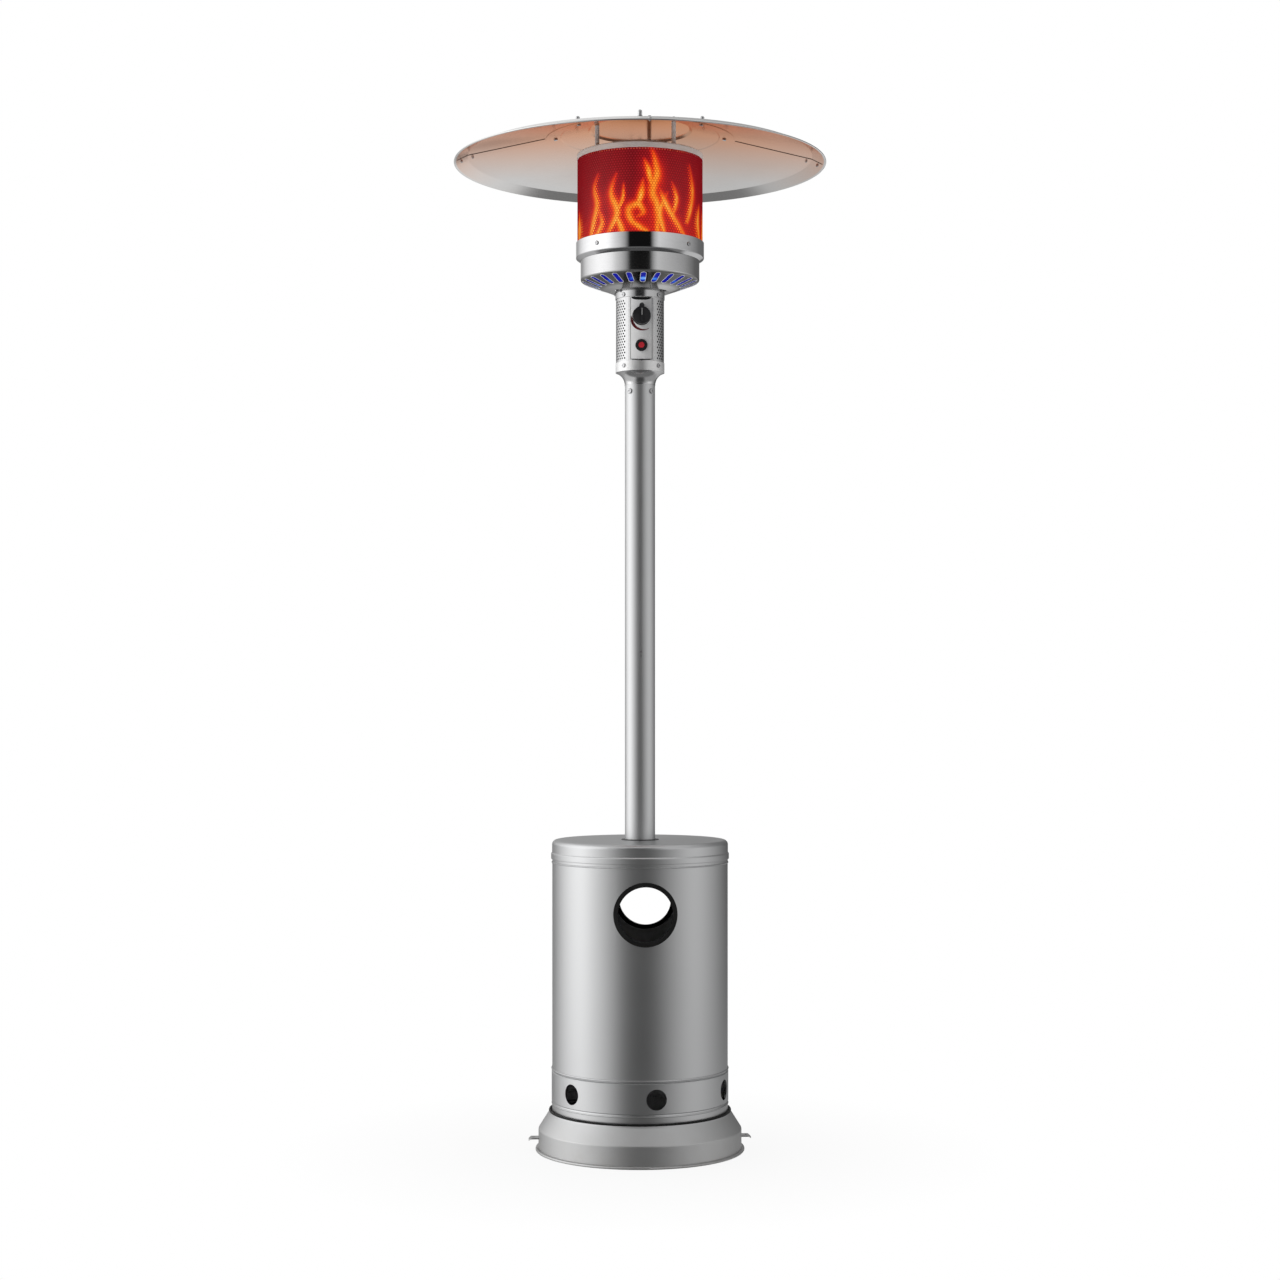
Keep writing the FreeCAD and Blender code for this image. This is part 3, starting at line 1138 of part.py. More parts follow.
os.makedirs("parts", exist_ok=True)
for item in NODES:
    item.Shape.exportStep("parts/%s.step" % item.Label)
    extent = item.Shape.BoundBox
    print("%-24s %2d solids %10.1f mm3  z %7.1f to %7.1f" % (
        item.Label, len(item.Shape.Solids), item.Shape.Volume, extent.ZMin, extent.ZMax))
print("%d nodes" % len(NODES))
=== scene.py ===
"""Looks of the free-standing gas patio heater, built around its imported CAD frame."""

import json
import math

import bmesh
import bpy
import numpy
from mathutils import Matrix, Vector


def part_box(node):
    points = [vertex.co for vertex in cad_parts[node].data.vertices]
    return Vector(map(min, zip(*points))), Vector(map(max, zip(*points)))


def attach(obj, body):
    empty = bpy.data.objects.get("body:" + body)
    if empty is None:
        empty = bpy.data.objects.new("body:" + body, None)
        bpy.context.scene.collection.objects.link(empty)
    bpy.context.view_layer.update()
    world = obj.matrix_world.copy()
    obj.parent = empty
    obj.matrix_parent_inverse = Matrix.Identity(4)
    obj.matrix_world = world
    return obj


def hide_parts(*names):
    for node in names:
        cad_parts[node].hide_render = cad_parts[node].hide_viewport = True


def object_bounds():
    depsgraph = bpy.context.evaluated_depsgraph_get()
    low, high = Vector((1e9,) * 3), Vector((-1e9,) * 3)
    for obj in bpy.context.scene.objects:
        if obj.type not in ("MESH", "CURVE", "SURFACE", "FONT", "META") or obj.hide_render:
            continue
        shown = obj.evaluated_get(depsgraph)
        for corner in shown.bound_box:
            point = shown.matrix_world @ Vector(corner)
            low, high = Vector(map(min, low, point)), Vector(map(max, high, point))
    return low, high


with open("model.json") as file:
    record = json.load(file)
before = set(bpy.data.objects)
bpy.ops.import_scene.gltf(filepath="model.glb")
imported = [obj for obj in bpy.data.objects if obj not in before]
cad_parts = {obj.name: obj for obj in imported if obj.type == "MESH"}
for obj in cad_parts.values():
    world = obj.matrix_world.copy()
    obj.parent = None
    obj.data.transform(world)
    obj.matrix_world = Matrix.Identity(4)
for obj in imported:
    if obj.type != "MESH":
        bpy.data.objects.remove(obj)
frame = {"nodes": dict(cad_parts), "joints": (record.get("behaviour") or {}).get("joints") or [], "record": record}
cad_box = [list(corner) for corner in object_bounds()]
MM = 0.001
TURN = 2 * math.pi


# ---- driving sizes, from the frame and in metres --------------------------------------------

def outer_radius(node):
    """Largest reach of a round node from the heater's axis along X."""
    low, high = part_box(node)
    return max(high.x, -low.x)


screen_low, screen_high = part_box("emitter_screen")
head_low, head_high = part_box("control_housing")
plate_low, plate_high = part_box("control_plate")
knob_low, knob_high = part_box("control_knob")
bowl_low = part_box("burner_bowl")[0]
knob_axis = next(joint["pos_m"][2] for joint in frame["joints"] if joint["name"] == "knob_turn")
rim_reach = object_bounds()[1][0]
screen_radius = outer_radius("emitter_screen")
head_radius = outer_radius("control_housing")
HEAD_SHEET = 1.0 * MM

# the bowl's sloping floor and its slots
BOWL_FLAT = 65 * MM
BOWL_RISE = 24.5 * MM
SLOT_INNER = 88 * MM
SLOT_OUTER = 126 * MM
SLOT_HALF = 6 * MM
SLOT_COUNT = 24
bowl_slope = BOWL_RISE / (outer_radius("burner_bowl") - BOWL_FLAT)

# the bottle housing's drum
SHELL_RADIUS = 192 * MM
shell_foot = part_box("housing_shell")[0].z


# ---- node helpers -----------------------------------------------------------------------------

def plug(tree, socket, value):
    """Link a socket to another one, or set its value."""
    if isinstance(value, bpy.types.NodeSocket):
        tree.links.new(value, socket)
    else:
        socket.default_value = value


def add(tree, kind, inputs=None, **settings):
    """Add a shader node with its settings and inputs."""
    node = tree.nodes.new("ShaderNode" + kind)
    for key, value in settings.items():
        setattr(node, key, value)
    for key, value in (inputs or {}).items():
        plug(tree, node.inputs[key], value)
    return node


def maths(tree, operation, first, second=0.0, clamp=False):
    """Result of a Math node."""
    return add(tree, "Math", {0: first, 1: second}, operation=operation, use_clamp=clamp).outputs[0]


def noise(tree, scale, stretch=(1, 1, 1), detail=3.0):
    """Noise in the object's own space, in features per metre."""
    place = add(tree, "TexCoord").outputs["Object"]
    place = add(tree, "Mapping", {"Vector": place, "Scale": stretch}).outputs["Vector"]
    return add(tree, "TexNoise", {"Vector": place, "Scale": scale, "Detail": detail}).outputs["Fac"]


def remap(tree, value, low, high, start=0.0, end=1.0):
    """Map a value from low..high onto start..end."""
    inputs = {"Value": value, "From Min": low, "From Max": high, "To Min": start, "To Max": end}
    return add(tree, "MapRange", inputs).outputs["Result"]


def ramp(tree, value, stops):
    """Colour at a value, from (place, colour) stops."""
    node = add(tree, "ValToRGB", {"Fac": value})
    elements = node.color_ramp.elements
    while len(elements) < len(stops):
        elements.new(1.0)
    for element, (place, colour) in zip(elements, stops):
        element.position = place
        element.color = (*colour, 1.0)
    return node.outputs["Color"]


def grey(level):
    """A neutral colour."""
    return (level, level, level)


def shade(colour, factor):
    """A colour made lighter or darker."""
    return tuple(min(1.0, part * factor) for part in colour)


def mix(tree, factor, first, second):
    """Blend of two colours."""
    node = add(tree, "Mix", data_type="RGBA")
    plug(tree, node.inputs["Factor"], factor)
    colours = {"A": first, "B": second}
    for socket in node.inputs:
        if socket.type == "RGBA":
            value = colours[socket.name]
            plug(tree, socket, value if isinstance(value, bpy.types.NodeSocket) else (*value, 1.0))
    return [socket for socket in node.outputs if socket.type == "RGBA"][0]


def bump(tree, height, depth, strength=1.0):
    """Normal from a height between 0 and 1 that stands for a depth in metres."""
    return add(tree, "Bump", {"Height": height, "Distance": depth, "Strength": strength}).outputs[0]


def object_place(tree, part):
    """One coordinate of a point in its object's own space."""
    return add(tree, "SeparateXYZ", {0: add(tree, "TexCoord").outputs["Object"]}).outputs[part]


def axis_reach(tree):
    """Distance of a point from the heater's axis."""
    place = add(tree, "TexCoord").outputs["Object"]
    flat = add(tree, "VectorMath", {0: place, 1: (1.0, 1.0, 0.0)}, operation="MULTIPLY").outputs[0]
    return add(tree, "VectorMath", {0: flat}, operation="LENGTH").outputs["Value"]


def recolour(material, share, colour):
    """Blend another colour into a finish's own."""
    tree = material.node_tree
    socket = tree.nodes["Principled BSDF"].inputs["Base Color"]
    plug(tree, socket, mix(tree, share, socket.links[0].from_socket, colour))


def new_finish(name):
    """A material with its node tree and its Principled shader."""
    material = bpy.data.materials.new(name)
    material.use_nodes = True
    return material, material.node_tree, material.node_tree.nodes["Principled BSDF"]


def metal(name, colour, roughness, grain, stretch=(1, 1, 1), depth=0.02 * MM, cloud=5.0, contrast=1.0,
          edge=1.0):
    """A metal with cloudy tone, grain in its gloss and a fine relief; edge is its tint at a glance."""
    material, tree, shader = new_finish(name)
    clouds = noise(tree, cloud, detail=5.0)
    grains = noise(tree, grain, stretch)
    tone = ramp(tree, clouds, [(0.3, shade(colour, 1 - 0.1 * contrast)), (0.5, colour),
                               (0.7, shade(colour, 1 + 0.05 * contrast))])
    fleck = ramp(tree, grains, [(0.3, grey(1 - 0.1 * contrast)), (0.7, grey(1.0))])
    shader.inputs["Metallic"].default_value = 1.0
    shader.inputs["Specular Tint"].default_value = (edge, edge, edge, 1.0)
    blend = add(tree, "MixRGB", {"Fac": 1.0, "Color1": tone, "Color2": fleck}, blend_type="MULTIPLY")
    plug(tree, shader.inputs["Base Color"], blend.outputs[0])
    gloss = maths(tree, "ADD", maths(tree, "MULTIPLY", clouds, 0.5), maths(tree, "MULTIPLY", grains, 0.5))
    spread = 0.22 * contrast
    rough = remap(tree, gloss, 0.3, 0.7, roughness * (1 - spread), roughness * (1 + spread))
    plug(tree, shader.inputs["Roughness"], rough)
    plug(tree, shader.inputs["Normal"], bump(tree, grains, depth))
    return material


def plastic(name, colour, roughness, grain=1500.0, depth=0.03 * MM, gloss=0.5):
    """A moulded plastic or rubber with a fine grain and slight wear."""
    material, tree, shader = new_finish(name)
    clouds = noise(tree, 30.0, detail=5.0)
    grains = noise(tree, grain)
    tone = ramp(tree, clouds, [(0.35, shade(colour, 0.75)), (0.65, shade(colour, 1.3))])
    plug(tree, shader.inputs["Base Color"], tone)
    plug(tree, shader.inputs["Roughness"], remap(tree, clouds, 0.3, 0.7, roughness * 0.8, roughness * 1.2))
    shader.inputs["Specular IOR Level"].default_value = gloss
    plug(tree, shader.inputs["Normal"], bump(tree, grains, depth))
    return material


# ---- finishes -----------------------------------------------------------------------------

DUST_HEIGHT = 120 * MM
# where the reflector's tint fades: the painted reflection of the emitter's glow from front to back, the heat tint
# outwards from the middle, and both at the rim
GLOW_REFLECTION_ALONG = (-340 * MM, 240 * MM)
TINT_REACH = (120 * MM, 360 * MM)
TINT_RIM = (rim_reach - 6 * MM, rim_reach - 4 * MM)


def silver_finish(name, level, roughness):
    """Satin silver powder coat, dusty near the ground."""
    colour = (level, level + 0.005, level + 0.01)
    material = metal(name, colour, roughness, 1600.0, depth=0.004 * MM, contrast=0.25, edge=0.5)
    tree = material.node_tree
    low = remap(tree, object_place(tree, "Z"), 0.0, DUST_HEIGHT, 0.5, 0.0)
    dust = maths(tree, "MULTIPLY", low, noise(tree, 40.0, detail=6.0), clamp=True)
    recolour(material, dust, (0.5, 0.48, 0.45))
    return material


def aluminium_finish():
    """Bright rolled aluminium, a little wavy, whose underside has a heat tint near the middle and a painted
    reflection of the emitter's glow, strongest at the front.
    """
    material = metal("bright_aluminium", (0.82, 0.81, 0.80), 0.16, 300.0, depth=0.0005 * MM, cloud=6.0,
                     contrast=0.4)
    tree = material.node_tree
    shader = tree.nodes["Principled BSDF"]
    reach = axis_reach(tree)
    # painted reflection of the emitter's glow: copper on the underside, strongest at the front
    front = remap(tree, object_place(tree, "Y"), *GLOW_REFLECTION_ALONG, 1.0, 0.0)
    middle = remap(tree, reach, *TINT_REACH, 0.4, 0.0)
    heat_tint_and_glow_reflection = maths(tree, "ADD", front, middle, clamp=True)
    facing = add(tree, "SeparateXYZ", {0: add(tree, "TexCoord").outputs["Normal"]}).outputs["Z"]
    heat_tint_and_glow_reflection = maths(tree, "MULTIPLY", heat_tint_and_glow_reflection, remap(tree, facing, -0.2, 0.0, 1.0, 0.0))
    heat_tint_and_glow_reflection = maths(tree, "MULTIPLY", heat_tint_and_glow_reflection, remap(tree, reach, *TINT_RIM, 1.0, 0.0))
    # copper colour and edge tint: real heat tint near the middle, painted reflection of the glow towards the front
    recolour(material, heat_tint_and_glow_reflection, (0.80, 0.42, 0.23))
    plug(tree, shader.inputs["Specular Tint"], mix(tree, heat_tint_and_glow_reflection, (1.0, 1.0, 1.0), (1.0, 0.62, 0.45)))
    fine = shader.inputs["Normal"].links[0].from_node
    plug(tree, fine.inputs["Normal"], bump(tree, noise(tree, 9.0), 0.3 * MM))
    return material


def brushed_finish(name, roughness=0.20):
    """Stainless steel brushed round the head."""
    return metal(name, (0.68, 0.68, 0.685), roughness, 90.0, (1, 1, 22), 0.006 * MM, contrast=0.7,
                 edge=0.5)


def bowl_finish():
    """Brushed steel whose sloping underside round the slots is painted darker, as painted shade standing in for
    the darker reflection seen there.
    """
    material = brushed_finish("bowl_steel", 0.13)
    tree = material.node_tree
    outside = remap(tree, axis_reach(tree), SLOT_INNER - 10 * MM, SLOT_INNER + 4 * MM)
    floor_edge = bowl_low.z + BOWL_RISE
    below = remap(tree, object_place(tree, "Z"), floor_edge - 2.5 * MM, floor_edge + 2.5 * MM, 1.0, 0.0)
    # painted shade: the sloping underside outside the slots' inner ends is darkened
    painted_underside_shade = maths(tree, "MULTIPLY", maths(tree, "MULTIPLY", outside, below), 0.8)
    recolour(material, painted_underside_shade, (0.07, 0.068, 0.066))
    return material


def chrome_finish():
    """Polished stainless steel with faint smudges."""
    return metal("polished_steel", (0.80, 0.80, 0.81), 0.06, 60.0, (1, 1, 3), 0.0006 * MM, cloud=12.0,
                 contrast=0.5, edge=0.55)


def face_finish(name, metallic, bow=0.0):
    """Satin silver paint, which scatters more light than bare steel; bow curves it gently across."""
    material, tree, shader = new_finish(name)
    clouds = noise(tree, 60.0, detail=5.0)
    tone = ramp(tree, clouds, [(0.3, grey(0.84)), (0.7, grey(0.92))])
    plug(tree, shader.inputs["Base Color"], tone)
    shader.inputs["Metallic"].default_value = metallic
    plug(tree, shader.inputs["Roughness"], remap(tree, clouds, 0.3, 0.7, 0.36, 0.46))
    fine = bump(tree, noise(tree, 1200.0), 0.004 * MM)
    plug(tree, shader.inputs["Normal"], fine)
    if bow:
        away = maths(tree, "SUBTRACT", object_place(tree, "X"), plate_high.x)
        sag = maths(tree, "MULTIPLY", maths(tree, "MULTIPLY", away, away), -bow)
        plug(tree, fine.node.inputs["Normal"], bump(tree, sag, 1.0))
    return material


def zinc_finish():
    """Zinc plate with its cloudy spangle."""
    material = metal("zinc_plate", (0.6, 0.6, 0.615), 0.34, 500.0, depth=0.02 * MM, cloud=30.0)
    tree = material.node_tree
    shader = tree.nodes["Principled BSDF"]
    place = add(tree, "TexCoord").outputs["Object"]
    cells = add(tree, "TexVoronoi", {"Vector": place, "Scale": 110.0}).outputs["Color"]
    old = shader.inputs["Base Color"].links[0].from_socket
    spangle = add(tree, "MixRGB", {"Fac": 0.12, "Color1": old, "Color2": cells}, blend_type="OVERLAY")
    plug(tree, shader.inputs["Base Color"], spangle.outputs[0])
    return material


def glow_finish(name, stops, strength, metallic=0.0, base=(0.05, 0.02, 0.02), edge=(1.0, 1.0, 1.0)):
    """A surface that shines by its glow attribute, with a fine flicker in it."""
    material, tree, shader = new_finish(name)
    heat = add(tree, "Attribute", attribute_name="glow").outputs["Fac"]
    flicker = remap(tree, noise(tree, 60.0, (1, 1, 0.35)), 0.3, 0.7, 0.85, 1.12)
    level = maths(tree, "MULTIPLY", heat, flicker, clamp=True)
    plug(tree, shader.inputs["Emission Color"], ramp(tree, level, stops))
    shader.inputs["Emission Strength"].default_value = strength
    shader.inputs["Base Color"].default_value = (*base, 1.0)
    shader.inputs["Metallic"].default_value = metallic
    shader.inputs["Specular Tint"].default_value = (*edge, 1.0)
    plug(tree, shader.inputs["Roughness"], remap(tree, noise(tree, 400.0), 0.3, 0.7, 0.4, 0.6))
    return material


# colours of the flames by their glow, from 0 to 1
FLAME_COLOURS = [(0.0, (0.10, 0.003, 0.008)), (0.22, (0.30, 0.006, 0.010)), (0.40, (0.60, 0.018, 0.008)),
                 (0.60, (0.80, 0.09, 0.008)), (0.80, (0.92, 0.27, 0.02)), (1.0, (0.98, 0.50, 0.09))]
BLUE_COLOURS = [(0.0, (0.0, 0.002, 0.02)), (0.5, (0.008, 0.012, 0.36)), (0.75, (0.05, 0.22, 0.8)),
                (1.0, (0.35, 0.6, 1.0))]

finishes = {
    "silver": silver_finish("satin_silver", 0.68, 0.36),
    "zinc": zinc_finish(),
    "screw": metal("plated_screws", (0.62, 0.62, 0.63), 0.22, 900.0, cloud=60.0),
    "chrome": chrome_finish(),
    "brushed": brushed_finish("brushed_steel"),
    "brass": metal("machined_brass", (0.72, 0.52, 0.24), 0.24, 700.0, cloud=40.0),
    "black_plastic": plastic("black_plastic", (0.018, 0.018, 0.02), 0.38),
    "red_plastic": plastic("red_plastic", (0.62, 0.03, 0.045), 0.3, 600.0, 0.01 * MM),
    "rubber": plastic("black_rubber", (0.007, 0.007, 0.007), 0.55, 900.0, 0.05 * MM, 0.2),
    "ceramic": plastic("glazed_ceramic", (0.8, 0.76, 0.68), 0.18, 300.0, 0.01 * MM),
    "aluminium": aluminium_finish(),
    "hot_screen": glow_finish("glowing_screen", FLAME_COLOURS, 0.8, 1.0, (0.07, 0.035, 0.035),
                              (0.3, 0.02, 0.02)),
}
painted_face = face_finish("painted_face", 0.5, 6.0)
painted_steel = face_finish("painted_steel", 0.45)
ring_steel = face_finish("ring_steel", 0.85)
stud_steel = face_finish("stud_steel", 0.15)
# near-black used for painted shade: behind the head's holes and round the plate's edges
dark_liner = plastic("dark_liner", (0.035, 0.035, 0.037), 0.7)
pole_silver = silver_finish("pole_silver", 0.75, 0.42)
base_silver = silver_finish("base_silver", 0.68, 0.47)
red_mark = plastic("red_mark", (0.12, 0.012, 0.016), 0.4)
white_mark = plastic("white_mark", (0.55, 0.55, 0.55), 0.4)
flame_glow = glow_finish("flame_glow", FLAME_COLOURS, 1.4)
blue_glow = glow_finish("blue_flame", BLUE_COLOURS, 1.0, 0.0, (0.0, 0.0, 0.01))

for row in frame["record"]["subparts"]:
    carried = frame["nodes"][row["node"]]
    carried.data.materials.clear()
    carried.data.materials.append(finishes[row["material_slot"]])

# nodes whose finish differs from the rest of their slot
own_finishes = {
    "base_pan": base_silver, "pole_lower": pole_silver, "pole_upper": pole_silver,
    "neck_flare": finishes["brushed"], "head_ring_lower": ring_steel, "control_plate": painted_face,
    "burner_bowl": bowl_finish(), "emitter_cap": painted_steel, "reflector_studs": stud_steel}
for node, finish in own_finishes.items():
    frame["nodes"][node].data.materials[0] = finish


# ---- mesh helpers ---------------------------------------------------------------------------

def on_drum(radius, angle, level):
    """Point at an angle from the front towards +X round the heater's axis."""
    return (radius * math.sin(angle), -radius * math.cos(angle), level)


def finished(name, mesh_code, slot, material=None, solid=0.0, body="stand"):
    """Turn mesh code into a piece on a body, thickened inwards and smooth between its edges."""
    mesh = bpy.data.meshes.new(name)
    mesh_code.normal_update()
    mesh_code.to_mesh(mesh)
    mesh_code.free()
    piece = bpy.data.objects.new(name, mesh)
    bpy.context.scene.collection.objects.link(piece)
    mesh.materials.append(material or finishes[slot])
    if solid:
        skin = piece.modifiers.new("sheet", "SOLIDIFY")
        skin.thickness = solid
        skin.offset = -1.0
        skin.use_even_offset = True
        bpy.context.view_layer.update()
        graph = bpy.context.evaluated_depsgraph_get()
        piece.data = bpy.data.meshes.new_from_object(piece.evaluated_get(graph))
        piece.modifiers.clear()
    piece.data.shade_smooth()
    piece.data.set_sharp_from_angle(angle=math.radians(35))
    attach(piece, body)
    return piece


def bridge(code, rings, closed_rings=True, closed_run=False):
    """Quads between each ring of points and the next one."""
    for first, second in zip(rings, rings[1:] + rings[:1] if closed_run else rings[1:]):
        count = len(first)
        for index in range(count if closed_rings else count - 1):
            following = (index + 1) % count
            code.faces.new((first[index], first[following], second[following], second[index]))


def drum_wall(code, radius, levels, angles, closed=True):
    """Upright wall of quads at one radius, through the levels."""
    rings = [[code.verts.new(on_drum(radius, angle, level)) for angle in angles] for level in levels]
    bridge(code, rings, closed)


def bar_code(sections):
    """A closed bar through its sections, each one a ring of places."""
    code = bmesh.new()
    rings = [[code.verts.new(place) for place in section] for section in sections]
    bridge(code, rings)
    for end in (rings[0], rings[-1]):
        code.faces.new(end)
    bmesh.ops.recalc_face_normals(code, faces=code.faces)
    return code


def add_box(code, low, high):
    """A box between two corners."""
    for vertex in bmesh.ops.create_cube(code, size=1.0)["verts"]:
        vertex.co = [start + (end - start) * (part + 0.5) for start, end, part in zip(low, high, vertex.co)]


def perforated_wall(code, radius, start, turn, columns, levels, hole, sides):
    """Sheet curved round the axis with staggered round holes, one to a brick of its lattice."""
    half = turn / (2 * columns)
    whole = turn > TURN - 0.001
    steps = 2 * columns
    corners = {}

    def corner(step, row):
        step = step % steps if whole else step
        if (step, row) not in corners:
            corners[step, row] = code.verts.new(on_drum(radius, start + step * half, levels[row]))
        return corners[step, row]

    for row in range(len(levels) - 1):
        shift = row % 2
        bricks = columns if whole or not shift else columns - 1
        if shift and not whole:
            for side in (0, steps - 1):
                code.faces.new((corner(side, row), corner(side + 1, row),
                                corner(side + 1, row + 1), corner(side, row + 1)))
        for brick in range(bricks):
            left = 2 * brick + shift
            border = [corner(left, row), corner(left + 1, row), corner(left + 2, row),
                      corner(left + 2, row + 1), corner(left + 1, row + 1), corner(left, row + 1)]
            middle = start + (left + 1) * half
            level = (levels[row] + levels[row + 1]) / 2
            ring = []
            for turned in around(sides, math.radians(-150)):
                angle = middle + hole * math.cos(turned) / radius
                ring.append(code.verts.new(on_drum(radius, angle, level + hole * math.sin(turned))))
            share = sides // len(border)
            for index, place in enumerate(border):
                inner = [ring[(index * share + back) % sides] for back in range(share, -1, -1)]
                code.faces.new([place, border[(index + 1) % len(border)]] + inner)


def even(low, high, count):
    """Numbers spread evenly from low to high."""
    return [low + (high - low) * index / (count - 1) for index in range(count)]


def around(count, start=0.0):
    """Angles of a full turn."""
    return [start + TURN * index / count for index in range(count)]


# ---- flames -----------------------------------------------------------------------------

FLAMES_TURN = math.radians(-3.6)
# a flame is felt this far round from its middle, in radians, and its halo is this much wider than its core
STROKE_REACH = 0.6
HALO_SIZE = 2.4
# tongues of flame: half width in degrees, then the places they rise through, as (degrees, height share)
FLAME_PATHS = (
    (1.6, (-74, 0.0), (-72, 0.15), (-75, 0.36)),
    (2.2, (-52, 0.0), (-47, 0.18), (-43, 0.36), (-46, 0.56), (-41, 0.70)),
    (1.5, (-45, 0.02), (-37, 0.16), (-43, 0.36)),
    (2.4, (-30, 0.05), (-21, 0.25), (-27, 0.47), (-22, 0.68)),
    (2.0, (-15, 0.0), (-19, 0.14), (-25, 0.30)),
    (1.2, (-22, 0.25), (-16, 0.40), (-15, 0.58)),
    (2.6, (6, 0.04), (-7, 0.15), (-10, 0.28), (-2, 0.34), (3, 0.25), (-3, 0.20)),
    (2.2, (-3, 0.32), (1, 0.45), (3, 0.62)),
    (3.0, (16, 0.0), (16, 0.30), (12, 0.48), (15.5, 0.69), (13, 0.86), (8, 0.99)),
    (2.0, (12, 0.48), (8, 0.70), (3.5, 0.84)),
    (2.2, (45, 0.02), (29, 0.26), (21, 0.42), (18, 0.52)),
    (1.5, (31, 0.22), (35, 0.42), (30, 0.60)),
    (2.0, (23, 0.02), (18, 0.26), (26, 0.48)),
    (2.0, (48, 0.18), (55, 0.42), (55, 0.62), (51, 0.82)),
    (2.0, (70, 0.0), (66, 0.22), (69, 0.42)))


def curve_through(points, steps=14):
    """Points of a smooth curve through a few points, with how far along it each one is."""
    ends = [points[0], *points, points[-1]]
    places = []
    for index in range(len(points) - 1):
        before, start, end, after = (numpy.array(point) for point in ends[index:index + 4])
        for step in range(steps):
            t = step / steps
            square = 2 * before - 5 * start + 4 * end - after
            cube = 3 * start - before - 3 * end + after
            place = 0.5 * (2 * start + (end - before) * t + square * t ** 2 + cube * t ** 3)
            places.append((*place, (index + t) / (len(points) - 1)))
    places.append((*points[-1], 1.0))
    return numpy.array(places)


def flame_strokes():
    """The tongues' curves all round: the front ones, and the same turned and mirrored behind."""
    strokes = []
    for middle, hand, height in ((0, 1, 1.0), (148, -1, 0.9), (-148, -1, 0.95)):
        for width, *points in FLAME_PATHS:
            curve = curve_through(points)
            curve[:, 0] = numpy.radians(middle + hand * curve[:, 0]) + FLAMES_TURN
            curve[:, 1] *= height
            strokes.append((math.radians(width) * screen_radius, curve))
    return strokes


def emitter_glow(points):
    """Glow of points of the emitter: a dull heat, and flames that fade away from their curves."""
    height = screen_high.z - screen_low.z
    angle = numpy.arctan2(points[:, 0], -points[:, 1])
    share = (points[:, 2] - screen_low.z) / height
    # the dull heat is brightest at the foot; an upright band left of the middle is made dimmer, painted shade
    # standing in for a dark reflection on the screen
    glow = 0.21 - 0.09 * share + 0.10 * numpy.clip(1 - share * 2.2, 0, 1)
    glow -= 0.05 * numpy.exp(-((angle - FLAMES_TURN + 0.14) / 0.12) ** 2)
    core = numpy.zeros(len(points))
    halo = numpy.zeros(len(points))
    for width, curve in flame_strokes():
        middle = curve[:, 0].mean()
        beside = (angle - middle + math.pi) % TURN - math.pi
        near = numpy.abs(beside) < STROKE_REACH
        for place, rise, along in curve:
            away = beside[near] - (place - middle)
            # a tongue is widest and brightest in its middle
            swell = math.sin(math.pi * (0.12 + 0.86 * along))
            size = width * (0.4 + 1.0 * swell ** 1.3)
            distance = numpy.hypot(away * screen_radius, (share[near] - rise) * height) / size
            strength = 0.45 + 0.6 * swell - 0.15 * along
            core[near] = numpy.maximum(core[near], numpy.exp(-distance ** 2) * strength)
            halo[near] = numpy.maximum(halo[near], numpy.exp(-(distance / HALO_SIZE) ** 2) * strength)
    glow += core * 0.5 + halo * 0.2
    return numpy.clip(glow, 0, 1)


def paint_glow(piece, glow_of):
    """Give every point its glow, which the finish turns into colour."""
    mesh = piece.data
    points = numpy.zeros(len(mesh.vertices) * 3)
    mesh.vertices.foreach_get("co", points)
    attribute = mesh.attributes.new("glow", "FLOAT", "POINT")
    attribute.data.foreach_set("value", glow_of(points.reshape(-1, 3)).astype(numpy.float32))


# ---- emitter ----------------------------------------------------------------------------

SCREEN_HEM = 4 * MM
SCREEN_ROWS = 36
SCREEN_COLUMNS = 139
SCREEN_HOLE = 1.95 * MM
SCREEN_SHEET = 0.8 * MM
# the burning gas: its distance behind the screen, and its margins at the foot and the top
FLAME_GAP = 5 * MM
FLAME_FOOT = 2 * MM
FLAME_TOP = 12 * MM


def make_emitter_screen():
    """The perforated stainless screen with its plain hems."""
    levels = even(screen_low.z + SCREEN_HEM, screen_high.z - SCREEN_HEM, SCREEN_ROWS + 1)
    code = bmesh.new()
    perforated_wall(code, screen_radius, 0.0, TURN, SCREEN_COLUMNS, levels, SCREEN_HOLE, 6)
    for low, high in ((screen_low.z, levels[0]), (levels[-1], screen_high.z)):
        drum_wall(code, screen_radius, (low, high), around(2 * SCREEN_COLUMNS))
    bmesh.ops.remove_doubles(code, verts=code.verts, dist=0.02 * MM)
    piece = finished("emitter_mesh", code, "hot_screen", solid=SCREEN_SHEET)
    paint_glow(piece, emitter_glow)
    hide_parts("emitter_screen")


def make_flames():
    """The burning gas close behind the screen."""
    code = bmesh.new()
    levels = even(screen_low.z + FLAME_FOOT, screen_high.z - FLAME_TOP, 90)
    drum_wall(code, screen_radius - FLAME_GAP, levels, around(480))
    piece = finished("emitter_flames", code, "hot_screen", flame_glow, 1.0 * MM)
    paint_glow(piece, emitter_glow)


# ---- control housing --------------------------------------------------------------------

ring_low_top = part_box("head_ring_lower")[1].z
ring_high_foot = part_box("head_ring_upper")[0].z
flat_foot = ring_low_top + 1.0 * MM
flat_top = ring_high_foot - 0.2 * MM
flat_depth = -plate_high.y
flat_half_angle = math.acos(flat_depth / head_radius)
WINDOW_HALF_WIDTH = 20 * MM
WINDOW_MARGIN = 1.3 * MM
# the head's holes, and the dark sheet behind them, painted shade for the inside
HEAD_ROWS = 22
HEAD_COLUMNS = 36
HEAD_HOLE = 2.05 * MM
SHADE_SHEET_GAP = 4 * MM
SHADE_SHEET_THICKNESS = 0.8 * MM


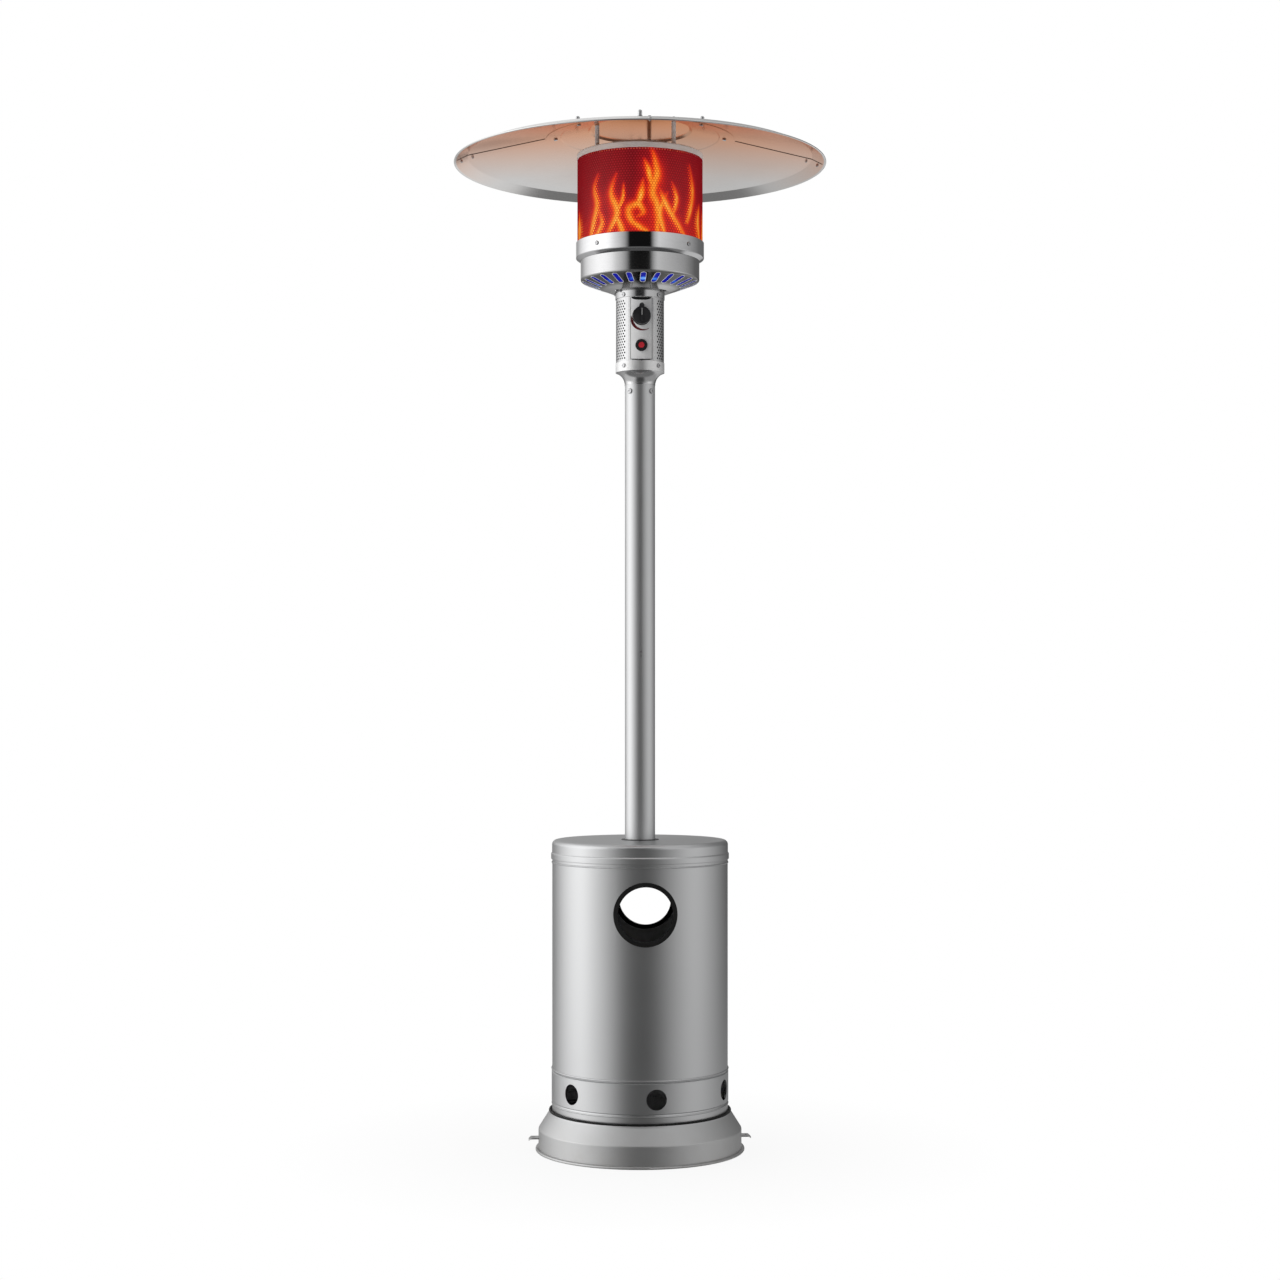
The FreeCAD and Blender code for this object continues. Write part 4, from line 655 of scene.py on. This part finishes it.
def make_head_tube():
    """The tube of the head with its fields of small staggered holes on both sides."""
    margin_angle = math.radians(7)
    start = flat_half_angle + margin_angle
    turn = TURN - 2 * start
    levels = even(flat_foot + 3 * MM, flat_top - 5 * MM, HEAD_ROWS + 1)
    code = bmesh.new()
    perforated_wall(code, head_radius, start, turn, HEAD_COLUMNS, levels, HEAD_HOLE, 12)
    steps = even(start, start + turn, 2 * HEAD_COLUMNS + 1)
    angles = [flat_half_angle] + steps + [TURN - flat_half_angle]
    for low, high in ((flat_foot, levels[0]), (levels[-1], flat_top)):
        drum_wall(code, head_radius, (low, high), angles, closed=False)
    for pair in (angles[:2], angles[-2:]):
        drum_wall(code, head_radius, levels, pair, closed=False)
    for low, high in ((head_low.z, flat_foot - 0.01 * MM), (flat_top + 0.01 * MM, head_high.z)):
        drum_wall(code, head_radius, (low, high), around(144))
    bmesh.ops.remove_doubles(code, verts=code.verts, dist=0.005 * MM)
    piece = finished("head_tube", code, "brushed", solid=HEAD_SHEET)
    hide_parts("control_housing")


def make_head_shade_sheet():
    """Painted shade: a dark sheet inside the tube, seen only through its holes, standing in for the shade within.
    """
    code = bmesh.new()
    start = flat_half_angle + math.radians(12)
    angles = even(start, TURN - start, 121)
    drum_wall(code, head_radius - SHADE_SHEET_GAP, (flat_foot, flat_top), angles, closed=False)
    finished("head_liner", code, "rubber", dark_liner, SHADE_SHEET_THICKNESS)


def make_head_face():
    """The flat front of the head tube, with the window that the control plate covers."""
    code = bmesh.new()
    half = head_radius * math.sin(flat_half_angle)
    across = (-half, -WINDOW_HALF_WIDTH, WINDOW_HALF_WIDTH, half)
    levels = (flat_foot, flat_foot + WINDOW_MARGIN, flat_top - WINDOW_MARGIN, flat_top)
    grid = [[code.verts.new((x, -flat_depth, z)) for x in across] for z in levels]
    window = (1, 1)
    for row in range(3):
        for column in range(3):
            if (row, column) != window:
                code.faces.new((grid[row][column], grid[row][column + 1],
                                grid[row + 1][column + 1], grid[row + 1][column]))
    angles = even(-flat_half_angle, flat_half_angle, 25)
    for level, upward in ((flat_foot, True), (flat_top, False)):
        for first, second in zip(angles, angles[1:]):
            outer = [on_drum(head_radius, angle, level) for angle in (first, second)]
            inner = [(x, -flat_depth, level) for x, _, _ in reversed(outer)]
            ledge = [code.verts.new(place) for place in outer + inner]
            code.faces.new(ledge if upward else ledge[::-1])
    bmesh.ops.remove_doubles(code, verts=code.verts, dist=0.005 * MM)
    finished("head_face", code, "brushed", painted_face, 0.9 * HEAD_SHEET)


# the mark round the knob: direction in degrees, inner and outer radius in mm
MARK_EDGES = (
    (177, 21.4, 22.2), (195, 19.8, 23.6), (215, 20.2, 26.6), (245, 23.6, 29.2), (272, 27.2, 30.6),
    (303, 30.4, 31.2))
MARK_THICKNESS = 0.15 * MM


def make_heat_mark():
    """A wedge-shaped mark that winds round the knob, widest at its left."""
    middle = (knob_low.x + knob_high.x) / 2
    near = plate_low.y - MARK_THICKNESS
    sections = []
    for angle, inner, outer, _ in curve_through(MARK_EDGES, 12):
        turned = math.radians(angle)
        (inner_x, inner_z), (outer_x, outer_z) = (
            (middle + reach * MM * math.cos(turned), knob_axis + reach * MM * math.sin(turned))
            for reach in (inner, outer))
        sections.append(((inner_x, near, inner_z), (outer_x, near, outer_z),
                         (outer_x, plate_low.y, outer_z), (inner_x, plate_low.y, inner_z)))
    finished("heat_mark", bar_code(sections), "red_plastic", red_mark)


# the painted shadow over the plate's top edge, a dark strip: its thickness, height at the ends and drop in the
# middle
PLATE_SHADOW_THICKNESS = 0.6 * MM
PLATE_SHADOW_HEIGHT = 1.2 * MM
PLATE_SHADOW_DROP = 4.6 * MM


def make_painted_plate_shadow():
    """Painted shadow: a black strip between the plate's top edge and the ring above it, standing in for the shade
    under the ring.
    """
    middle = (plate_low.x + plate_high.x) / 2
    half = (plate_high.x - plate_low.x) / 2
    near, top = plate_low.y - PLATE_SHADOW_THICKNESS, plate_high.z
    sections = []
    for side in even(-0.93, 0.93, 25):
        x = middle + side * half
        foot = top - PLATE_SHADOW_HEIGHT - PLATE_SHADOW_DROP * (1 - side ** 4)
        sections.append(((x, near, foot), (x, near, top), (x, plate_low.y, top), (x, plate_low.y, foot)))
    finished("plate_seal", bar_code(sections), "rubber")


def make_plate_edge_shadow():
    """Painted shadow: a thin dark strip down the plate's sides and along its foot, standing in for the shade at
    its edges.
    """
    code = bmesh.new()
    width = 0.9 * MM
    front, back = plate_high.y - 0.9 * MM, plate_high.y - 0.1 * MM
    for low_x, high_x, low_z, high_z in (
            (plate_low.x - width, plate_low.x, plate_low.z, plate_high.z - width),
            (plate_high.x, plate_high.x + width, plate_low.z, plate_high.z - width),
            (plate_low.x - width, plate_high.x + width, plate_low.z - width, plate_low.z)):
        add_box(code, (low_x, front, low_z), (high_x, back, high_z))
    finished("plate_gasket", code, "rubber", dark_liner)


# the line on the knob: half width, thickness, and its ends below and above the knob's axis
LINE_HALF_WIDTH = 0.55 * MM
LINE_THICKNESS = 0.2 * MM
LINE_ENDS = (-0.5 * MM, 14.5 * MM)


def make_knob_line():
    """A slim pale line along the knob's grip."""
    code = bmesh.new()
    start, end = (knob_axis + place for place in LINE_ENDS)
    add_box(code, (-LINE_HALF_WIDTH, knob_low.y - LINE_THICKNESS, start), (LINE_HALF_WIDTH, knob_low.y, end))
    bmesh.ops.bevel(code, geom=code.edges[:], offset=0.05 * MM, segments=2, affect="EDGES")
    finished("knob_line", code, "black_plastic", white_mark, body="knob")


# ---- drum and base ------------------------------------------------------------------------

# rolled beads of the drum: level and half height in mm
HOUSING_BEADS = ((103.5, 1.6), (179.0, 2.0), (628.5, 1.6))
RING_STEPS = 192
RING_SIDES = 10


def ring_code(rings):
    """Round rings about the heater's axis, each from its radius, level and half height in metres."""
    code = bmesh.new()
    for radius, level, half in rings:
        section = [(radius + half * math.cos(turn), level + half * math.sin(turn))
                   for turn in around(RING_SIDES)]
        loops = [[code.verts.new(on_drum(reach, angle, height)) for reach, height in section]
                 for angle in around(RING_STEPS)]
        bridge(code, loops, closed_run=True)
    bmesh.ops.recalc_face_normals(code, faces=code.faces)
    return code


def make_housing_beads():
    """The beads rolled into the drum, standing proud of it."""
    rings = [(SHELL_RADIUS, level * MM, half * MM) for level, half in HOUSING_BEADS]
    finished("housing_beads", ring_code(rings), "silver", body="bottle_housing")


def make_base_gap_shadow():
    """Painted shadow: a dark ring on the base's rim round the drum's foot, standing in for the shade in the gap
    between them.
    """
    rim_radius = SHELL_RADIUS + 4.8 * MM
    rim_level = shell_foot + 7 * MM
    half_height = 2.5 * MM
    finished("base_seal", ring_code([(rim_radius, rim_level, half_height)]), "rubber")


# ---- bowl -------------------------------------------------------------------------------

def bowl_level(radius):
    """Level of the bowl's sloping underside at a radius."""
    return bowl_low.z + bowl_slope * max(0.0, radius - BOWL_FLAT)


def slot_outline(steps=10):
    """Points round a slot as (side, reach, outward side, outward reach)."""
    points = []
    for end, first in ((SLOT_INNER + SLOT_HALF, math.pi), (SLOT_OUTER - SLOT_HALF, 0.0)):
        for index in range(steps + 1):
            angle = first + math.pi * index / steps
            side, reach = math.cos(angle), math.sin(angle)
            points.append((SLOT_HALF * side, end + SLOT_HALF * reach, side, reach))
    return points


# a lip's section: half width, half height, and how far it hangs below the floor
LIP_HALF_WIDTH = 0.55 * MM
LIP_HALF_HEIGHT = 0.45 * MM
LIP_DROP = 0.1 * MM


def make_slot_lips():
    """The thin lips turned out round the slots in the bowl's floor."""
    code = bmesh.new()
    for turn in around(SLOT_COUNT):
        rings = []
        for side, reach, out_side, out_reach in slot_outline():
            ring = []
            for angle in around(6):
                away = LIP_HALF_WIDTH * math.cos(angle)
                x = side + out_side * away
                y = reach + out_reach * away
                radius = math.hypot(x, y)
                level = bowl_level(radius) - LIP_DROP + LIP_HALF_HEIGHT * math.sin(angle)
                ring.append(code.verts.new(on_drum(radius, turn + math.atan2(x, y), level)))
            rings.append(ring)
        bridge(code, rings, closed_run=True)
    bmesh.ops.recalc_face_normals(code, faces=code.faces)
    finished("slot_lips", code, "chrome", painted_steel)


# the blue flame: its height above the floor, its inner and outer radius, and where it is brightest
BLUE_GAP = 5 * MM
BLUE_INNER = SLOT_INNER - 6 * MM
BLUE_OUTER = SLOT_OUTER + 1.5 * MM
BLUE_TIP = SLOT_INNER + 5 * MM


def blue_glow_of(points):
    """Glow of the blue flame, brighter in places near the slots' inner ends."""
    radius = numpy.hypot(points[:, 0], points[:, 1])
    angle = numpy.arctan2(points[:, 0], -points[:, 1])
    tip = numpy.exp(-((radius - BLUE_TIP) / (6 * MM)) ** 2)
    return 0.42 + tip * (0.2 + 0.3 * numpy.sin(5 * angle + 1.2) * numpy.cos(2 * angle))


def make_blue_flame():
    """The blue base of the flame, close above the slots."""
    code = bmesh.new()
    rings = [[code.verts.new(on_drum(radius, angle, bowl_level(radius) + BLUE_GAP)) for angle in around(288)]
             for radius in even(BLUE_INNER, BLUE_OUTER, 12)]
    bridge(code, rings)
    bmesh.ops.recalc_face_normals(code, faces=code.faces)
    piece = finished("blue_flame", code, "hot_screen", blue_glow, 0.5 * MM)
    paint_glow(piece, blue_glow_of)


make_emitter_screen()
make_flames()
make_head_tube()
make_head_shade_sheet()
make_head_face()
make_heat_mark()
make_painted_plate_shadow()
make_plate_edge_shadow()
make_knob_line()
make_slot_lips()
make_blue_flame()
make_housing_beads()
make_base_gap_shadow()


# ---- studio -----------------------------------------------------------------------------

camera_azimuth = math.radians(-3.6)
# brightness of the studio's walls, high up and at standing height, by degrees from the camera to its right
HIGH_WALLS = (
    (-180, 0.54), (-150, 0.50), (-132, 0.70), (-111, 0.85), (-88, 0.96), (-69, 0.92), (-57, 0.80),
    (-46, 0.57), (-35, 0.41), (-27, 0.26), (-19, 0.004), (19, 0.004), (27, 0.33), (34, 0.50), (46, 0.44),
    (69, 0.35), (95, 0.27), (111, 0.20), (132, 0.13), (165, 0.17), (180, 0.34))
LOW_WALLS = (
    (-180, 0.36), (-165, 0.26), (-150, 0.24), (-132, 0.44), (-100, 0.98), (-81, 1.25), (-64, 0.78),
    (-48, 0.46), (-34, 0.26), (-20, 0.12), (-7, 0.07), (7, 0.055), (20, 0.10), (34, 0.19), (48, 0.32),
    (64, 0.58), (81, 0.60), (100, 0.38), (132, 0.14), (160, 0.08), (180, 0.22))
# brightness of its floor in the same directions, dark only in front
FLOOR = ((-180, 0.43), (-168, 0.36), (-145, 0.34), (-120, 0.45), (-45, 0.45), (-22, 0.05), (22, 0.04),
         (45, 0.24), (130, 0.26), (150, 0.44), (165, 0.52), (180, 0.43))
# ceiling and dark middle of the floor: height of the direction, level, share of the walls that they hide
BANDS = (
    (-1.0, 0.13, 1), (-0.76, 0.13, 1), (-0.68, 0.13, 0), (0.60, 0.40, 0), (0.85, 0.40, 1), (1.0, 0.40, 1))
# heights of the direction over which the low walls turn to the high ones, and the walls to the floor
LOW_TO_HIGH = (0.06, 0.15)
WALLS_TO_FLOOR = (-0.10, -0.20)
STUDIO_POWER = 1.5


def make_world():
    """Soft light from two sides, pale above and below, and white behind."""
    world = bpy.data.worlds.new("studio")
    bpy.context.scene.world = world
    world.use_nodes = True
    tree = world.node_tree
    direction = add(tree, "TexCoord").outputs["Generated"]
    parts = add(tree, "SeparateXYZ", {0: direction}).outputs
    azimuth = maths(tree, "ARCTAN2", parts["X"], maths(tree, "MULTIPLY", parts["Y"], -1.0))
    azimuth = maths(tree, "SUBTRACT", azimuth, camera_azimuth)
    azimuth = maths(tree, "FRACT", maths(tree, "ADD", maths(tree, "DIVIDE", azimuth, TURN), 0.5))
    high, low, ground = (ramp(tree, azimuth, [((angle + 180) / 360, grey(level)) for angle, level in table])
                         for table in (HIGH_WALLS, LOW_WALLS, FLOOR))
    walls = mix(tree, remap(tree, parts["Z"], *LOW_TO_HIGH), low, high)
    walls = mix(tree, remap(tree, parts["Z"], *WALLS_TO_FLOOR), walls, ground)
    height = remap(tree, parts["Z"], -1.0, 1.0)
    band = ramp(tree, height, [((place + 1) / 2, grey(level)) for place, level, _ in BANDS])
    share = ramp(tree, height, [((place + 1) / 2, grey(hidden)) for place, _, hidden in BANDS])
    light = mix(tree, share, walls, band)
    seen = add(tree, "LightPath").outputs["Is Camera Ray"]
    light = mix(tree, seen, light, grey(1.0 / STUDIO_POWER))
    background = tree.nodes["Background"]
    plug(tree, background.inputs["Color"], light)
    background.inputs["Strength"].default_value = STUDIO_POWER


FLOOR_HALF_SIZE = 30.0
# distances from the heater between which the floor turns to plain white
FLOOR_FADE = (0.2, 0.8)


def make_floor():
    """A pale floor that turns to plain white away from the heater."""
    code = bmesh.new()
    bmesh.ops.create_grid(code, x_segments=8, y_segments=8, size=FLOOR_HALF_SIZE)
    mesh = bpy.data.meshes.new("floor")
    code.to_mesh(mesh)
    code.free()
    floor = bpy.data.objects.new("floor", mesh)
    bpy.context.scene.collection.objects.link(floor)
    floor.location.z = cad_box[0][2] - 0.2 * MM
    floor.visible_glossy = False
    material, tree, shader = new_finish("pale_floor")
    shader.inputs["Base Color"].default_value = (0.9, 0.9, 0.9, 1.0)
    shader.inputs["Roughness"].default_value = 0.8
    place = add(tree, "TexCoord").outputs["Object"]
    reach = add(tree, "VectorMath", {0: place}, operation="LENGTH").outputs["Value"]
    share = remap(tree, reach, *FLOOR_FADE, 0.9, 1.0)
    white = add(tree, "Emission", {"Color": (1.0, 1.0, 1.0, 1.0), "Strength": 1.0}).outputs[0]
    blend = add(tree, "MixShader", {0: share, 1: shader.outputs[0], 2: white}).outputs[0]
    plug(tree, tree.nodes["Material Output"].inputs["Surface"], blend)
    mesh.materials.append(material)


CAMERA_DISTANCE = 5.036
CAMERA_HEIGHT = 1.0
CAMERA_LENS = 64.69
CAMERA_SHIFT = 0.0406


def make_camera():
    """Level camera in front, a little to the left, framing the whole heater."""
    data = bpy.data.cameras.new("camera")
    data.sensor_width = 36.0
    data.lens = CAMERA_LENS
    data.shift_y = CAMERA_SHIFT
    camera = bpy.data.objects.new("camera", data)
    bpy.context.scene.collection.objects.link(camera)
    camera.location = on_drum(CAMERA_DISTANCE, camera_azimuth, CAMERA_HEIGHT)
    camera.rotation_euler = (math.radians(90), 0.0, camera_azimuth)
    bpy.context.scene.camera = camera


make_world()
make_floor()
make_camera()
bpy.context.scene.view_settings.view_transform = "Standard"
